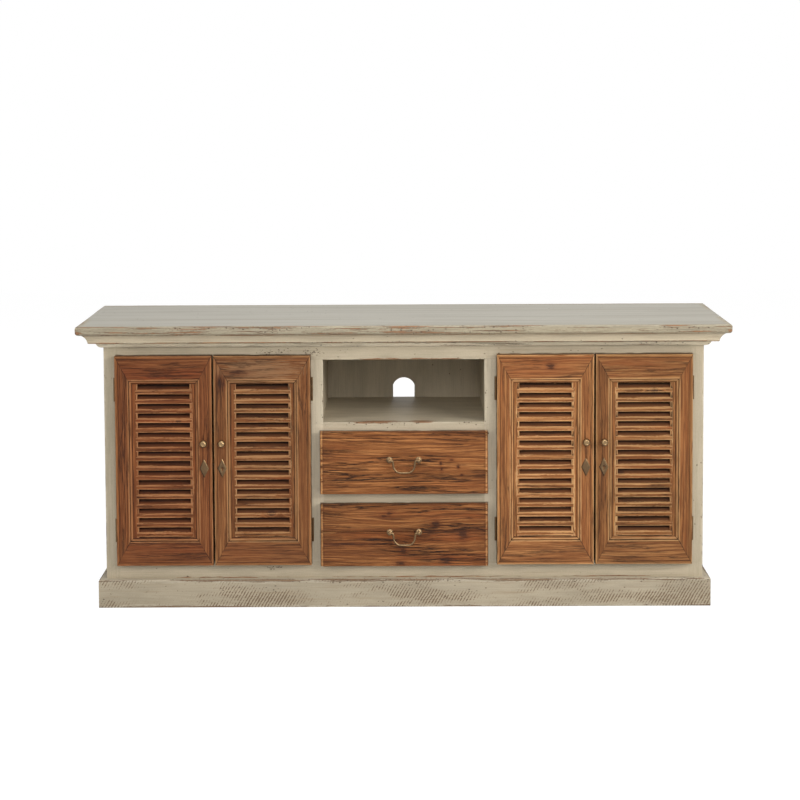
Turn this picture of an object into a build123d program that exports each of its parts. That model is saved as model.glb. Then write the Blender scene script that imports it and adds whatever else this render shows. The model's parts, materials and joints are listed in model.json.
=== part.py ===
from build123d import *
import math
import os

# Low television sideboard: painted case, two pairs of louvred doors, two drawers under an open niche.
# Millimetres. X runs along the front, +Y points to the wall behind, Z is up.
# The origin is on the floor, under the middle of the top board.

# Overall size
overall_width = 1800.0
overall_depth = 450.0
overall_height = 796.0

# Top board
top_thickness = 25.0
top_reveal = 15.0
nose_upper_radius = 5.0
nose_lower_radius = 9.0

# Cove and bed mould under the top board
cove_height = 26.0
cove_step = 33.5
cove_foot_back = 14.0
cove_foot_radius = 3.5
cove_lip = 1.5
cove_hollow = 2.5
bed_height = 15.0
bed_projection = 17.5
bed_toe = 3.0
bed_lip = 2.5
bed_bulge = 3.0

# Plinth
plinth_height = 78.0
plinth_projection = 19.5
plinth_ease = 3.0
inner_rail_thickness = 20.0

# Case boards
side_thickness = 20.0
partition_thickness = 20.0
partition_setback = 3.5
board_thickness = 18.0
back_thickness = 10.0
back_rabbet = 10.0
back_floor_gap = 30.0

# Face frame; the two drawer openings share the height that is left in the middle bay
frame_thickness = 22.0
outer_stile_width = 39.0
inner_stile_width = 40.0
niche_width = 449.0
frieze_reveal = 37.3
niche_height = 175.7
niche_rail_height = 32.6
drawer_rail_height = 46.4
bottom_rail_reveal = 46.0
bottom_rail_hidden = 38.0

# Cable outlet in the back of the niche
outlet_width = 64.0
outlet_spring = 38.0
outlet_rise = 22.0

# Shelves in the side bays
shelf_level = 410.0
shelf_setback = 27.0
shelf_end_gap = 1.0
shelf_cleat_size = 18.0

# Doors, overlaid on the face frame
door_overlay_outer = 5.5
door_overlay_inner = 6.0
door_overlay_top = 15.3
door_overlay_bottom = 4.5
door_pair_gap = 5.0
door_standoff = 2.0
door_thickness = 22.0
door_stile_width = 38.0
door_rail_width = 68.5
door_arris = 2.0
bead_width = 10.0
bead_quirk = 2.0
bead_bulge = 1.6

# Louvres
louvre_recess = 6.0
louvre_strip_width = 13.5
slat_seat = 5.5
slat_count = 16
slat_thickness = 8.0
slat_angle = 45.0
slat_end_margin = 1.6

# Door hinges, partly wrapped round the stile
hinge_length = 66.0
hinge_end_distance = 96.0
hinge_leaf_thickness = 1.5
hinge_leaf_width = 24.0
hinge_flange = 19.0
knuckle_radius = 3.0
knuckle_frame_gap = 0.25
knuckle_door_gap = 0.3
knuckle_end_gap = 0.3
hinge_pin_radius = 1.5
pin_running_gap = 0.05

# Door catches
catch_width = 36.0
catch_height = 12.0
catch_depth = 40.0
catch_offset = 40.0
catch_air_gap = 0.3
strike_thickness = 1.0

# Knobs and key plates
knob_edge_distance = 22.5
knob_rise = 346.5
knob_diameter = 22.0
knob_projection = 25.0
knob_foot_diameter = 15.0
knob_foot_thickness = 1.6
knob_neck_diameter = 9.0
knob_face_diameter = 11.0
key_plate_drop = 72.0
key_plate_width = 26.0
key_plate_height = 53.0
key_plate_thickness = 1.5
key_plate_ease = 0.5
keyhole_radius = 2.8
keyhole_slot_width = 3.2
keyhole_slot_drop = 8.0

# Drawers
drawer_overlay = 8.5
drawer_front_gap = 1.0
drawer_front_thickness = 21.0
drawer_front_arris = 2.5
drawer_side_clearance = 2.0
drawer_lift = 3.5
drawer_box_headroom = 41.5
drawer_board_thickness = 14.0
drawer_back_gap = 25.0
drawer_bottom_thickness = 6.0
drawer_bottom_rise = 10.0
drawer_bottom_groove = 6.0
runner_height = 16.0
runner_groove_depth = 7.0
runner_clearance = 0.3
runner_back_gap = 15.0

# Bail pulls
pull_centres = 81.0
pull_rise = 9.0
pull_reach = 13.0
rosette_radius = 9.0
rosette_thickness = 1.4
rosette_dome = 1.4
post_stem_radius = 4.0
post_head_radius = 5.5
post_head_length = 9.3
post_head_ease = 1.9
bail_radius = 2.4
bail_facets = 6
bail_pin_radius = 2.5
bail_pin_length = 6.5
bail_width = 62.0
bail_bottom_width = 54.0
bail_drop = 33.5
bail_shoulder_radius = 3.4
bail_corner_radius = 21.0
bail_pin_end_gap = 1.0
bail_running_gap = 0.06

# Levels and planes that follow from the sizes above
cove_projection = bed_projection + cove_step
case_half = overall_width / 2 - cove_projection - top_reveal
front_y = -overall_depth / 2 + cove_projection + top_reveal
back_y = overall_depth / 2
frame_back = front_y + frame_thickness
back_face = back_y - back_thickness
case_top = overall_height - top_thickness
cove_bottom = case_top - cove_height
bed_bottom = cove_bottom - bed_height
side_inner = case_half - side_thickness
niche_half = niche_width / 2
partition_inner = niche_half + partition_setback
partition_outer = partition_inner + partition_thickness
opening_inner = niche_half + inner_stile_width
opening_outer = case_half - outer_stile_width
frieze_bottom = bed_bottom - frieze_reveal
niche_floor = frieze_bottom - niche_height
upper_drawer_top = niche_floor - niche_rail_height
floor_level = plinth_height + bottom_rail_reveal
drawer_opening_height = (upper_drawer_top - floor_level - drawer_rail_height) / 2
lower_drawer_top = floor_level + drawer_opening_height
upper_drawer_floor = lower_drawer_top + drawer_rail_height

os.makedirs("parts", exist_ok=True)


def save(label, *pieces):
    solids = [solid for piece in pieces for solid in piece.solids()]
    group = pieces[0] if len(pieces) == 1 else Compound(solids)
    group.label = label
    export_step(group, f"parts/{label}.step")


def board(low, high):
    with BuildPart() as plain_board:
        with BuildSketch(Plane.XY.offset(low[2])):
            with Locations(((low[0] + high[0]) / 2, (low[1] + high[1]) / 2)):
                Rectangle(high[0] - low[0], high[1] - low[1])
        extrude(amount=high[2] - low[2])
    return plain_board.part


def mirrored(piece):
    return mirror(piece, about=Plane.YZ, mode=Mode.PRIVATE)


def bowed(start, end, bow):
    length = math.dist(start, end)
    across = (end[0] - start[0]) / length
    along = (end[1] - start[1]) / length
    return ((start[0] + end[0]) / 2 - along * bow, (start[1] + end[1]) / 2 + across * bow)


# Top board: one wide board with a rounded nose on the front and both ends
with BuildPart() as top_board:
    with BuildSketch(Plane.XY.offset(case_top)):
        Rectangle(overall_width, overall_depth)
    extrude(amount=top_thickness)
    upper_edges = top_board.faces().sort_by(Axis.Z)[-1].edges().sort_by(Axis.Y)[:-1]
    fillet(upper_edges, nose_upper_radius)
    lower_edges = top_board.faces().sort_by(Axis.Z)[0].edges().sort_by(Axis.Y)[:-1]
    fillet(lower_edges, nose_lower_radius)
save("top_board", top_board.part)


# Cornice mouldings: each is a front run and two side runs, mitred at the front corners
def cove_section():
    foot = (cove_projection - cove_foot_back, cove_bottom + cove_foot_radius)
    foot_inner = (foot[0] - cove_foot_radius, cove_bottom)
    lip = (cove_projection, case_top - cove_lip)
    foot_round = cove_foot_radius * math.sqrt(0.5)
    foot_middle = (foot_inner[0] + foot_round, foot[1] - foot_round)
    with BuildSketch() as section:
        with BuildLine():
            Polyline(lip, (cove_projection, case_top), (0, case_top), (0, cove_bottom), foot_inner)
            ThreePointArc(foot_inner, foot_middle, foot)
            ThreePointArc(foot, bowed(foot, lip, cove_hollow), lip)
        make_face()
    return section.sketch


def bed_section():
    toe = (bed_toe, bed_bottom)
    lip = (bed_projection, cove_bottom - bed_lip)
    with BuildSketch() as section:
        with BuildLine():
            Polyline(lip, (bed_projection, cove_bottom), (0, cove_bottom), (0, bed_bottom), toe)
            ThreePointArc(toe, bowed(toe, lip, -bed_bulge), lip)
        make_face()
    return section.sketch


def mitred_run(section, plane, plan):
    with BuildPart() as run:
        with BuildSketch(plane):
            add(section)
        extrude(amount=overall_width, both=True)
        with BuildSketch(Plane.XY):
            Polygon(*plan, align=None)
        extrude(amount=overall_height, mode=Mode.INTERSECT)
    return run.part


def cornice_runs(section, projection):
    corner = (case_half, front_y)
    mitre = (case_half + projection, front_y - projection)
    front_plan = [(-mitre[0], mitre[1]), mitre, corner, (-corner[0], corner[1])]
    side_plan = [corner, mitre, (mitre[0], back_y), (corner[0], back_y)]
    front_plane = Plane(origin=(0, front_y, 0), x_dir=(0, -1, 0), z_dir=(-1, 0, 0))
    side_plane = Plane(origin=(case_half, 0, 0), x_dir=(1, 0, 0), z_dir=(0, -1, 0))
    front_run = mitred_run(section, front_plane, front_plan)
    right_run = mitred_run(section, side_plane, side_plan)
    return front_run, mirrored(right_run), right_run


save("cornice_cove", *cornice_runs(cove_section(), cove_projection))
save("cornice_bed_mould", *cornice_runs(bed_section(), bed_projection))

# Plinth: front and side boards mitred round the case, with an eased upper arris
plinth_half = case_half + plinth_projection
plinth_front_y = front_y - plinth_projection
with BuildPart() as plinth_front:
    with BuildSketch(Plane.XY):
        Polygon(
            (-plinth_half, plinth_front_y),
            (plinth_half, plinth_front_y),
            (case_half, front_y),
            (-case_half, front_y),
            align=None,
        )
    extrude(amount=plinth_height)
    fillet(plinth_front.faces().sort_by(Axis.Z)[-1].edges().sort_by(Axis.Y)[0], plinth_ease)
save("plinth_front", plinth_front.part)

with BuildPart() as plinth_side:
    with BuildSketch(Plane.XY):
        Polygon(
            (case_half, front_y),
            (plinth_half, plinth_front_y),
            (plinth_half, back_y),
            (case_half, back_y),
            align=None,
        )
    extrude(amount=plinth_height)
    fillet(plinth_side.faces().sort_by(Axis.Z)[-1].edges().sort_by(Axis.X)[-1], plinth_ease)
save("plinth_sides", mirrored(plinth_side.part), plinth_side.part)

# Rails under the bottom board: one along the back and one below each partition
bottom_board_low = floor_level - board_thickness
back_rail = board(
    (-side_inner, back_face - inner_rail_thickness, 0),
    (side_inner, back_face, bottom_board_low),
)
right_bearer = board(
    (partition_inner, frame_back, 0),
    (partition_outer, back_face - inner_rail_thickness, bottom_board_low),
)
save("plinth_inner_rails", back_rail, mirrored(right_bearer), right_bearer)

# Side panels, rabbeted at the back for the back panels
with BuildPart() as side_panel:
    with BuildSketch(Plane.XY):
        with BuildLine():
            Polyline(
                (side_inner, frame_back),
                (case_half, frame_back),
                (case_half, back_y),
                (side_inner + back_rabbet, back_y),
                (side_inner + back_rabbet, back_face),
                (side_inner, back_face),
                close=True,
            )
        make_face()
    extrude(amount=case_top)
save("side_panel_left", mirrored(side_panel.part))
save("side_panel_right", side_panel.part)

# Bottom board, partitions and niche shelf
save(
    "bottom_board",
    board((-side_inner, frame_back, bottom_board_low), (side_inner, back_face, floor_level)),
)
partition = board(
    (partition_inner, frame_back, floor_level),
    (partition_outer, back_face, case_top),
)
save("partition_left", mirrored(partition))
save("partition_right", partition)
save(
    "niche_shelf",
    board(
        (-partition_inner, frame_back, niche_floor - board_thickness),
        (partition_inner, back_face, niche_floor),
    ),
)

# Back panels: one to each bay, meeting on the partitions, the middle one with the cable outlet
partition_middle = (partition_inner + partition_outer) / 2
right_back = board(
    (partition_middle, back_face, back_floor_gap),
    (side_inner + back_rabbet, back_y, case_top),
)
with BuildPart() as middle_back:
    with BuildSketch(Plane.XZ.offset(-back_y)):
        with Locations((0, (back_floor_gap + case_top) / 2)):
            Rectangle(2 * partition_middle, case_top - back_floor_gap)
        outlet_half = outlet_width / 2
        arch_left = (-outlet_half, niche_floor + outlet_spring)
        arch_right = (outlet_half, niche_floor + outlet_spring)
        with BuildLine():
            Polyline(arch_right, (outlet_half, niche_floor), (-outlet_half, niche_floor), arch_left)
            ThreePointArc(arch_left, (0, arch_left[1] + outlet_rise), arch_right)
        make_face(mode=Mode.SUBTRACT)
    extrude(amount=back_thickness)
save("back_panels", mirrored(right_back), middle_back.part, right_back)

# Face frame: the outer stiles run to the floor, the rails fit between the stiles
outer_stile = board((opening_outer, front_y, 0), (case_half, frame_back, case_top))
save("outer_stiles", mirrored(outer_stile), outer_stile)
inner_stile = board((niche_half, front_y, floor_level), (opening_inner, frame_back, frieze_bottom))
save("inner_stiles", mirrored(inner_stile), inner_stile)


def save_rail(label, half_length, low, high):
    save(label, board((-half_length, front_y, low), (half_length, frame_back, high)))


save_rail("frieze_rail", opening_outer, frieze_bottom, case_top)
save_rail("niche_rail", niche_half, upper_drawer_top, niche_floor)
save_rail("drawer_rail", niche_half, lower_drawer_top, upper_drawer_floor)
save_rail("bottom_rail", opening_outer, plinth_height - bottom_rail_hidden, floor_level)

# A shelf on cleats in each side bay
shelf_front = frame_back + shelf_setback
shelf_low = shelf_level - board_thickness
cleat_low = shelf_low - shelf_cleat_size
right_shelf = board(
    (partition_outer + shelf_end_gap, shelf_front, shelf_low),
    (side_inner - shelf_end_gap, back_face, shelf_level),
)
save("side_shelves", mirrored(right_shelf), right_shelf)
inner_cleat = board(
    (partition_outer, shelf_front, cleat_low),
    (partition_outer + shelf_cleat_size, back_face, shelf_low),
)
outer_cleat = board(
    (side_inner - shelf_cleat_size, shelf_front, cleat_low),
    (side_inner, back_face, shelf_low),
)
save("shelf_cleats", mirrored(outer_cleat), mirrored(inner_cleat), inner_cleat, outer_cleat)

# Doors: places shared by the wood and the fittings
door_inner_edge = opening_inner - door_overlay_inner
door_outer_edge = opening_outer + door_overlay_outer
door_width = (door_outer_edge - door_inner_edge - door_pair_gap) / 2
door_bottom = floor_level - door_overlay_bottom
door_top = frieze_bottom + door_overlay_top
door_height = door_top - door_bottom
door_back = front_y - door_standoff
door_front = door_back - door_thickness
stile_inner = door_stile_width + bead_width
rail_inner = door_rail_width + bead_width
hinge_lows = (
    door_bottom + hinge_end_distance - hinge_length / 2,
    door_top - hinge_end_distance - hinge_length / 2,
)
knuckle_length = hinge_length / 3
axis_offset = knuckle_radius + knuckle_door_gap
axis_y = front_y - knuckle_frame_gap - knuckle_radius
pair_middle = (door_inner_edge + door_outer_edge) / 2
knob_z = door_bottom + knob_rise


def moulded_section(flat_width):
    inner = flat_width + bead_width
    bead_start = (inner, louvre_recess)
    bead_end = (flat_width, bead_quirk)
    arris_middle = door_arris * (1 - math.sqrt(0.5))
    with BuildSketch() as section:
        with BuildLine():
            Polyline((0, door_arris), (0, door_thickness), (inner, door_thickness), bead_start)
            ThreePointArc(bead_start, bowed(bead_start, bead_end, bead_bulge), bead_end)
            Polyline(bead_end, (flat_width, 0), (door_arris, 0))
            ThreePointArc((door_arris, 0), (arris_middle, arris_middle), (0, door_arris))
        make_face()
    return section.sketch


def door_stiles(left, hinge_edge, swing):
    plane = Plane(origin=(left, door_front, door_bottom), x_dir=(1, 0, 0), z_dir=(0, 0, 1))
    with BuildPart() as stiles:
        with BuildSketch(plane):
            add(moulded_section(door_stile_width))
        extrude(amount=door_height)
        with BuildSketch(Plane.XZ):
            Polygon(
                (left, door_bottom),
                (left + door_stile_width, door_bottom + door_rail_width),
                (left + stile_inner, door_bottom + rail_inner),
                (left + stile_inner, door_top - rail_inner),
                (left + door_stile_width, door_top - door_rail_width),
                (left, door_top),
                align=None,
            )
        extrude(amount=overall_depth, mode=Mode.INTERSECT)
        mirror(about=Plane.YZ.offset(left + door_width / 2))
        mortise_x = hinge_edge + swing * hinge_leaf_width / 2
        for low in hinge_lows:
            with BuildSketch(Plane.XY.offset(low)):
                with Locations((mortise_x, door_back - hinge_leaf_thickness / 2)):
                    Rectangle(hinge_leaf_width, hinge_leaf_thickness)
            extrude(amount=hinge_length, mode=Mode.SUBTRACT)
    return stiles.part


def door_rails(left):
    right = left + door_width
    plane = Plane(origin=(right, door_front, door_bottom), x_dir=(0, 0, 1), z_dir=(-1, 0, 0))
    with BuildPart() as rails:
        with BuildSketch(plane):
            add(moulded_section(door_rail_width))
        extrude(amount=door_width)
        with BuildSketch(Plane.XZ):
            Polygon(
                (left, door_bottom),
                (right, door_bottom),
                (right - door_stile_width, door_bottom + door_rail_width),
                (right - stile_inner, door_bottom + rail_inner),
                (left + stile_inner, door_bottom + rail_inner),
                (left + door_stile_width, door_bottom + door_rail_width),
                align=None,
            )
        extrude(amount=overall_depth, mode=Mode.INTERSECT)
        mirror(about=Plane.XY.offset(door_bottom + door_height / 2))
    return rails.part


# Louvres: sloping slats whose ends sit in open notches of the two side strips
slat_depth = door_thickness - louvre_recess
slat_nose = slat_thickness / math.cos(math.radians(slat_angle))
slat_climb = slat_depth * math.tan(math.radians(slat_angle))
louvre_low = door_bottom + rail_inner
louvre_height = door_height - 2 * rail_inner
slat_run = louvre_height - 2 * slat_end_margin - slat_nose - slat_climb
slat_pitch = slat_run / (slat_count - 1)
slat_lows = [louvre_low + slat_end_margin + n * slat_pitch for n in range(slat_count)]
louvre_front = door_front + louvre_recess
slat_inset = stile_inner + louvre_strip_width - slat_seat


def slat_sections():
    with BuildSketch() as sections:
        for low in slat_lows:
            Polygon(
                (louvre_front, low),
                (louvre_front, low + slat_nose),
                (door_back, low + slat_nose + slat_climb),
                (door_back, low + slat_climb),
                align=None,
            )
    return sections.sketch


def louvre_strips(left):
    with BuildPart() as strips:
        with BuildSketch(Plane.XY.offset(louvre_low)):
            strip_x = left + stile_inner + louvre_strip_width / 2
            with Locations((strip_x, (louvre_front + door_back) / 2)):
                Rectangle(louvre_strip_width, slat_depth)
        extrude(amount=louvre_height)
        with BuildSketch(Plane.YZ.offset(left + slat_inset)):
            add(slat_sections())
        extrude(amount=slat_seat, mode=Mode.SUBTRACT)
        mirror(about=Plane.YZ.offset(left + door_width / 2))
    return strips.part


def louvre_slats(left):
    with BuildPart() as slats:
        with BuildSketch(Plane.YZ.offset(left + slat_inset)):
            add(slat_sections())
        extrude(amount=door_width - 2 * slat_inset)
    return slats.part


# Hinges: the stile's leaf carries the end knuckles and the pin, the door's leaf the middle knuckle
def frame_leaf(hinge_edge, swing, low):
    axis_x = hinge_edge - swing * axis_offset
    opening_edge = opening_inner if abs(hinge_edge) < pair_middle else opening_outer
    stile_edge = math.copysign(opening_edge, hinge_edge)
    flange_x = stile_edge + swing * hinge_leaf_thickness
    leaf_front = front_y - hinge_leaf_thickness
    with BuildPart() as leaf:
        with BuildSketch(Plane.XY.offset(low)):
            Polygon(
                (hinge_edge, leaf_front),
                (flange_x, leaf_front),
                (flange_x, front_y + hinge_flange),
                (stile_edge, front_y + hinge_flange),
                (stile_edge, front_y),
                (hinge_edge, front_y),
                align=None,
            )
        extrude(amount=hinge_length)
        for knuckle_low in (low, low + hinge_length - knuckle_length):
            with BuildSketch(Plane.XY.offset(knuckle_low)):
                with Locations(((axis_x + hinge_edge) / 2, (leaf_front + front_y) / 2)):
                    Rectangle(axis_offset, hinge_leaf_thickness)
                with Locations((axis_x, axis_y)):
                    Circle(knuckle_radius)
            extrude(amount=knuckle_length)
        with BuildSketch(Plane.XY.offset(low)):
            with Locations((axis_x, axis_y)):
                Circle(hinge_pin_radius)
        extrude(amount=hinge_length)
    return leaf.part


def door_leaf(hinge_edge, swing, low):
    axis_x = hinge_edge - swing * axis_offset
    leaf_y = door_back - hinge_leaf_thickness / 2
    barrel_low = low + knuckle_length + knuckle_end_gap
    barrel_length = hinge_length - 2 * (knuckle_length + knuckle_end_gap)
    with BuildPart() as leaf:
        with BuildSketch(Plane.XY.offset(low)):
            with Locations((hinge_edge + swing * hinge_leaf_width / 2, leaf_y)):
                Rectangle(hinge_leaf_width, hinge_leaf_thickness)
        extrude(amount=hinge_length)
        with BuildSketch(Plane.XY.offset(barrel_low)):
            with Locations(((axis_x + hinge_edge) / 2, leaf_y)):
                Rectangle(axis_offset, hinge_leaf_thickness)
            with Locations((axis_x, axis_y)):
                Circle(knuckle_radius)
                Circle(hinge_pin_radius + pin_running_gap, mode=Mode.SUBTRACT)
        extrude(amount=barrel_length)
    return leaf.part


# Catches: a magnet block under the frieze rail and a strike plate on the door's back
def catch_block(catch_x):
    magnet_face = door_back + strike_thickness + catch_air_gap
    return board(
        (catch_x - catch_width / 2, magnet_face, frieze_bottom - catch_height),
        (catch_x + catch_width / 2, magnet_face + catch_depth, frieze_bottom),
    )


def strike_plate(catch_x):
    return board(
        (catch_x - catch_width / 2, door_back, frieze_bottom - catch_height),
        (catch_x + catch_width / 2, door_back + strike_thickness, frieze_bottom),
    )


# Turned knob, a ball with a flattened face, and diamond key plate
def knob(knob_x):
    centre = (knob_x, door_front, knob_z)
    foot = knob_foot_diameter / 2
    neck = knob_neck_diameter / 2
    ball = knob_diameter / 2
    face = knob_face_diameter / 2
    ball_middle = knob_projection - math.sqrt(ball**2 - face**2)
    ball_low = ball_middle - math.sqrt(ball**2 - neck**2)
    with BuildPart() as turned_knob:
        with BuildSketch(Plane(origin=centre, x_dir=(1, 0, 0), z_dir=(0, 0, -1))):
            with BuildLine():
                Polyline(
                    (0, knob_projection),
                    (0, 0),
                    (foot, 0),
                    (foot, knob_foot_thickness),
                    (neck, knob_foot_thickness),
                    (neck, ball_low),
                )
                ThreePointArc((neck, ball_low), (ball, ball_middle), (face, knob_projection))
                Line((face, knob_projection), (0, knob_projection))
            make_face()
        revolve(axis=Axis(centre, (0, -1, 0)))
    return turned_knob.part


def key_plate(plate_x, has_keyhole):
    plate_z = knob_z - key_plate_drop
    half_width = key_plate_width / 2
    half_height = key_plate_height / 2
    with BuildPart() as plate:
        with BuildSketch(Plane.XZ.offset(-door_front)):
            with Locations((plate_x, plate_z)):
                Polygon((-half_width, 0), (0, -half_height), (half_width, 0), (0, half_height))
                if has_keyhole:
                    Circle(keyhole_radius, mode=Mode.SUBTRACT)
            if has_keyhole:
                with Locations((plate_x, plate_z - keyhole_slot_drop / 2)):
                    Rectangle(keyhole_slot_width, keyhole_slot_drop, mode=Mode.SUBTRACT)
        extrude(amount=key_plate_thickness)
        chamfer(plate.faces().sort_by(Axis.Y)[0].outer_wire().edges(), key_plate_ease)
    return plate.part


door_places = (
    ("door_1", -door_outer_edge, 1, False),
    ("door_2", -door_inner_edge, -1, True),
    ("door_3", door_inner_edge, 1, False),
    ("door_4", door_outer_edge, -1, True),
)
frame_leaves = []
catch_blocks = []
for name, hinge_edge, swing, has_keyhole in door_places:
    left = min(hinge_edge, hinge_edge + swing * door_width)
    knob_x = hinge_edge + swing * (door_width - knob_edge_distance)
    catch_x = math.copysign(pair_middle, hinge_edge) - swing * catch_offset
    leaves = [door_leaf(hinge_edge, swing, low) for low in hinge_lows]
    frame_leaves += [frame_leaf(hinge_edge, swing, low) for low in hinge_lows]
    catch_blocks.append(catch_block(catch_x))
    left_stile, right_stile = door_stiles(left, hinge_edge, swing).solids().sort_by(Axis.X)
    bottom_rail, top_rail = door_rails(left).solids().sort_by(Axis.Z)
    save(f"{name}_left_stile", left_stile)
    save(f"{name}_right_stile", right_stile)
    save(f"{name}_top_rail", top_rail)
    save(f"{name}_bottom_rail", bottom_rail)
    save(f"{name}_louvre_strips", louvre_strips(left))
    save(f"{name}_slats", louvre_slats(left))
    front_fittings = knob(knob_x), key_plate(knob_x, has_keyhole)
    save(f"{name}_hardware", *front_fittings, *leaves, strike_plate(catch_x))
save("hinge_frame_leaves", *frame_leaves)
save("door_catches", *catch_blocks)

# Drawers: an overlaid front on a grooved box that hangs on a wooden runner at each side
drawer_half = niche_half + drawer_overlay
drawer_face_back = front_y - drawer_front_gap
drawer_face = drawer_face_back - drawer_front_thickness
box_half = niche_half - drawer_side_clearance
box_inner = box_half - drawer_board_thickness
box_back = back_face - drawer_back_gap
drawer_box_height = drawer_opening_height - drawer_lift - drawer_box_headroom
box_length = box_back - drawer_face_back
groove_half = runner_height / 2 + runner_clearance
groove_floor = box_half - runner_groove_depth
bottom_half = box_inner + drawer_bottom_groove


def drawer_front(opening_low):
    low = opening_low - drawer_overlay
    high = opening_low + drawer_opening_height + drawer_overlay
    with BuildPart() as front:
        with BuildSketch(Plane.XZ.offset(-drawer_face_back)):
            with Locations((0, (low + high) / 2)):
                Rectangle(2 * drawer_half, high - low)
        extrude(amount=drawer_front_thickness)
        fillet(front.faces().sort_by(Axis.Y)[0].edges(), drawer_front_arris)
    return front.part


def drawer_side(box_low):
    box_high = box_low + drawer_box_height
    runner_z = box_low + drawer_box_height / 2
    bottom_low = box_low + drawer_bottom_rise
    bottom_high = bottom_low + drawer_bottom_thickness
    with BuildPart() as side:
        with BuildSketch(Plane.XZ.offset(-box_back)):
            with BuildLine():
                Polyline(
                    (box_inner, box_low),
                    (box_half, box_low),
                    (box_half, runner_z - groove_half),
                    (groove_floor, runner_z - groove_half),
                    (groove_floor, runner_z + groove_half),
                    (box_half, runner_z + groove_half),
                    (box_half, box_high),
                    (box_inner, box_high),
                    (box_inner, bottom_high),
                    (bottom_half, bottom_high),
                    (bottom_half, bottom_low),
                    (box_inner, bottom_low),
                    close=True,
                )
            make_face()
        extrude(amount=box_length)
    return side.part


def drawer_inner_front(box_low):
    box_high = box_low + drawer_box_height
    bottom_low = box_low + drawer_bottom_rise
    bottom_high = bottom_low + drawer_bottom_thickness
    front_inside = drawer_face_back + drawer_board_thickness
    groove_end = front_inside - drawer_bottom_groove
    with BuildPart() as inner_front:
        with BuildSketch(Plane.YZ.offset(-box_inner)):
            with BuildLine():
                Polyline(
                    (drawer_face_back, box_low),
                    (front_inside, box_low),
                    (front_inside, bottom_low),
                    (groove_end, bottom_low),
                    (groove_end, bottom_high),
                    (front_inside, bottom_high),
                    (front_inside, box_high),
                    (drawer_face_back, box_high),
                    close=True,
                )
            make_face()
        extrude(amount=2 * box_inner)
    return inner_front.part


def drawer_box(box_low):
    bottom_low = box_low + drawer_bottom_rise
    bottom_high = bottom_low + drawer_bottom_thickness
    bottom_start = drawer_face_back + drawer_board_thickness - drawer_bottom_groove
    side = drawer_side(box_low)
    bottom_high_corner = (bottom_half, box_back, bottom_high)
    bottom = board((-bottom_half, bottom_start, bottom_low), bottom_high_corner)
    back = board(
        (-box_inner, box_back - drawer_board_thickness, bottom_high),
        (box_inner, box_back, box_low + drawer_box_height),
    )
    return mirrored(side), side, drawer_inner_front(box_low), back, bottom


def drawer_runner(box_low):
    runner_low = box_low + drawer_box_height / 2 - runner_height / 2
    return board(
        (groove_floor + runner_clearance, frame_back, runner_low),
        (partition_inner, back_face - runner_back_gap, runner_low + runner_height),
    )


# Bail pull: two turned posts with a rosette, and a bent rod that swings in holes in their balls
pull_axis_y = drawer_face - pull_reach
post_x = pull_centres / 2
bail_pin_end = post_x - bail_pin_end_gap


def pull_post(pull_z):
    centre = (post_x, drawer_face, pull_z)
    head_low = pull_reach - post_head_length / 2
    head_high = pull_reach + post_head_length / 2
    eased_radius = post_head_radius - post_head_ease
    with BuildPart() as post:
        with BuildSketch(Plane(origin=centre, x_dir=(1, 0, 0), z_dir=(0, 0, -1))):
            with BuildLine():
                Polyline(
                    (0, 0),
                    (rosette_radius, 0),
                    (rosette_radius, rosette_thickness),
                    (post_stem_radius, rosette_thickness + rosette_dome),
                    (post_stem_radius, head_low),
                    (post_head_radius, head_low + post_head_ease),
                    (post_head_radius, head_high - post_head_ease),
                    (eased_radius, head_high),
                    (0, head_high),
                    close=True,
                )
            make_face()
        revolve(axis=Axis(centre, (0, -1, 0)))
        with BuildSketch(Plane(origin=(0, pull_axis_y, pull_z), x_dir=(0, 1, 0), z_dir=(1, 0, 0))):
            Circle(bail_pin_radius + bail_running_gap)
        extrude(amount=post_x, mode=Mode.SUBTRACT)
    return post.part


def bail(pull_z):
    shoulder = bail_width / 2
    bottom = bail_bottom_width / 2
    low = -bail_drop
    route = Plane(origin=(0, pull_axis_y, pull_z), x_dir=(1, 0, 0), z_dir=(0, -1, 0))
    start = Plane(origin=(-bail_pin_end, pull_axis_y, pull_z), x_dir=(0, 1, 0), z_dir=(1, 0, 0))
    corners = [bail_shoulder_radius, bail_corner_radius, bail_corner_radius, bail_shoulder_radius]
    with BuildPart() as rod:
        with BuildLine(route):
            FilletPolyline(
                (-bail_pin_end, 0),
                (-shoulder, 0),
                (-bottom, low),
                (bottom, low),
                (shoulder, 0),
                (bail_pin_end, 0),
                radius=corners,
            )
        with BuildSketch(start):
            RegularPolygon(bail_radius, bail_facets)
        sweep()
        with BuildSketch(start):
            Circle(bail_pin_radius)
        extrude(amount=bail_pin_length)
        mirror(about=Plane.YZ)
    return rod.part


runners = []
for name, opening_low in (("lower_drawer", floor_level), ("upper_drawer", upper_drawer_floor)):
    box_low = opening_low + drawer_lift
    pull_z = opening_low + drawer_opening_height / 2 + pull_rise
    runner = drawer_runner(box_low)
    post = pull_post(pull_z)
    runners += [mirrored(runner), runner]
    save(f"{name}_front", drawer_front(opening_low))
    save(f"{name}_box", *drawer_box(box_low))
    save(f"{name}_pull_posts", mirrored(post), post)
    save(f"{name}_bail", bail(pull_z))
save("drawer_runners", *runners)
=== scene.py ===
import json
import math
import random
from functools import partial, reduce

import bpy
import numpy as np
from mathutils import Matrix, Vector

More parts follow.
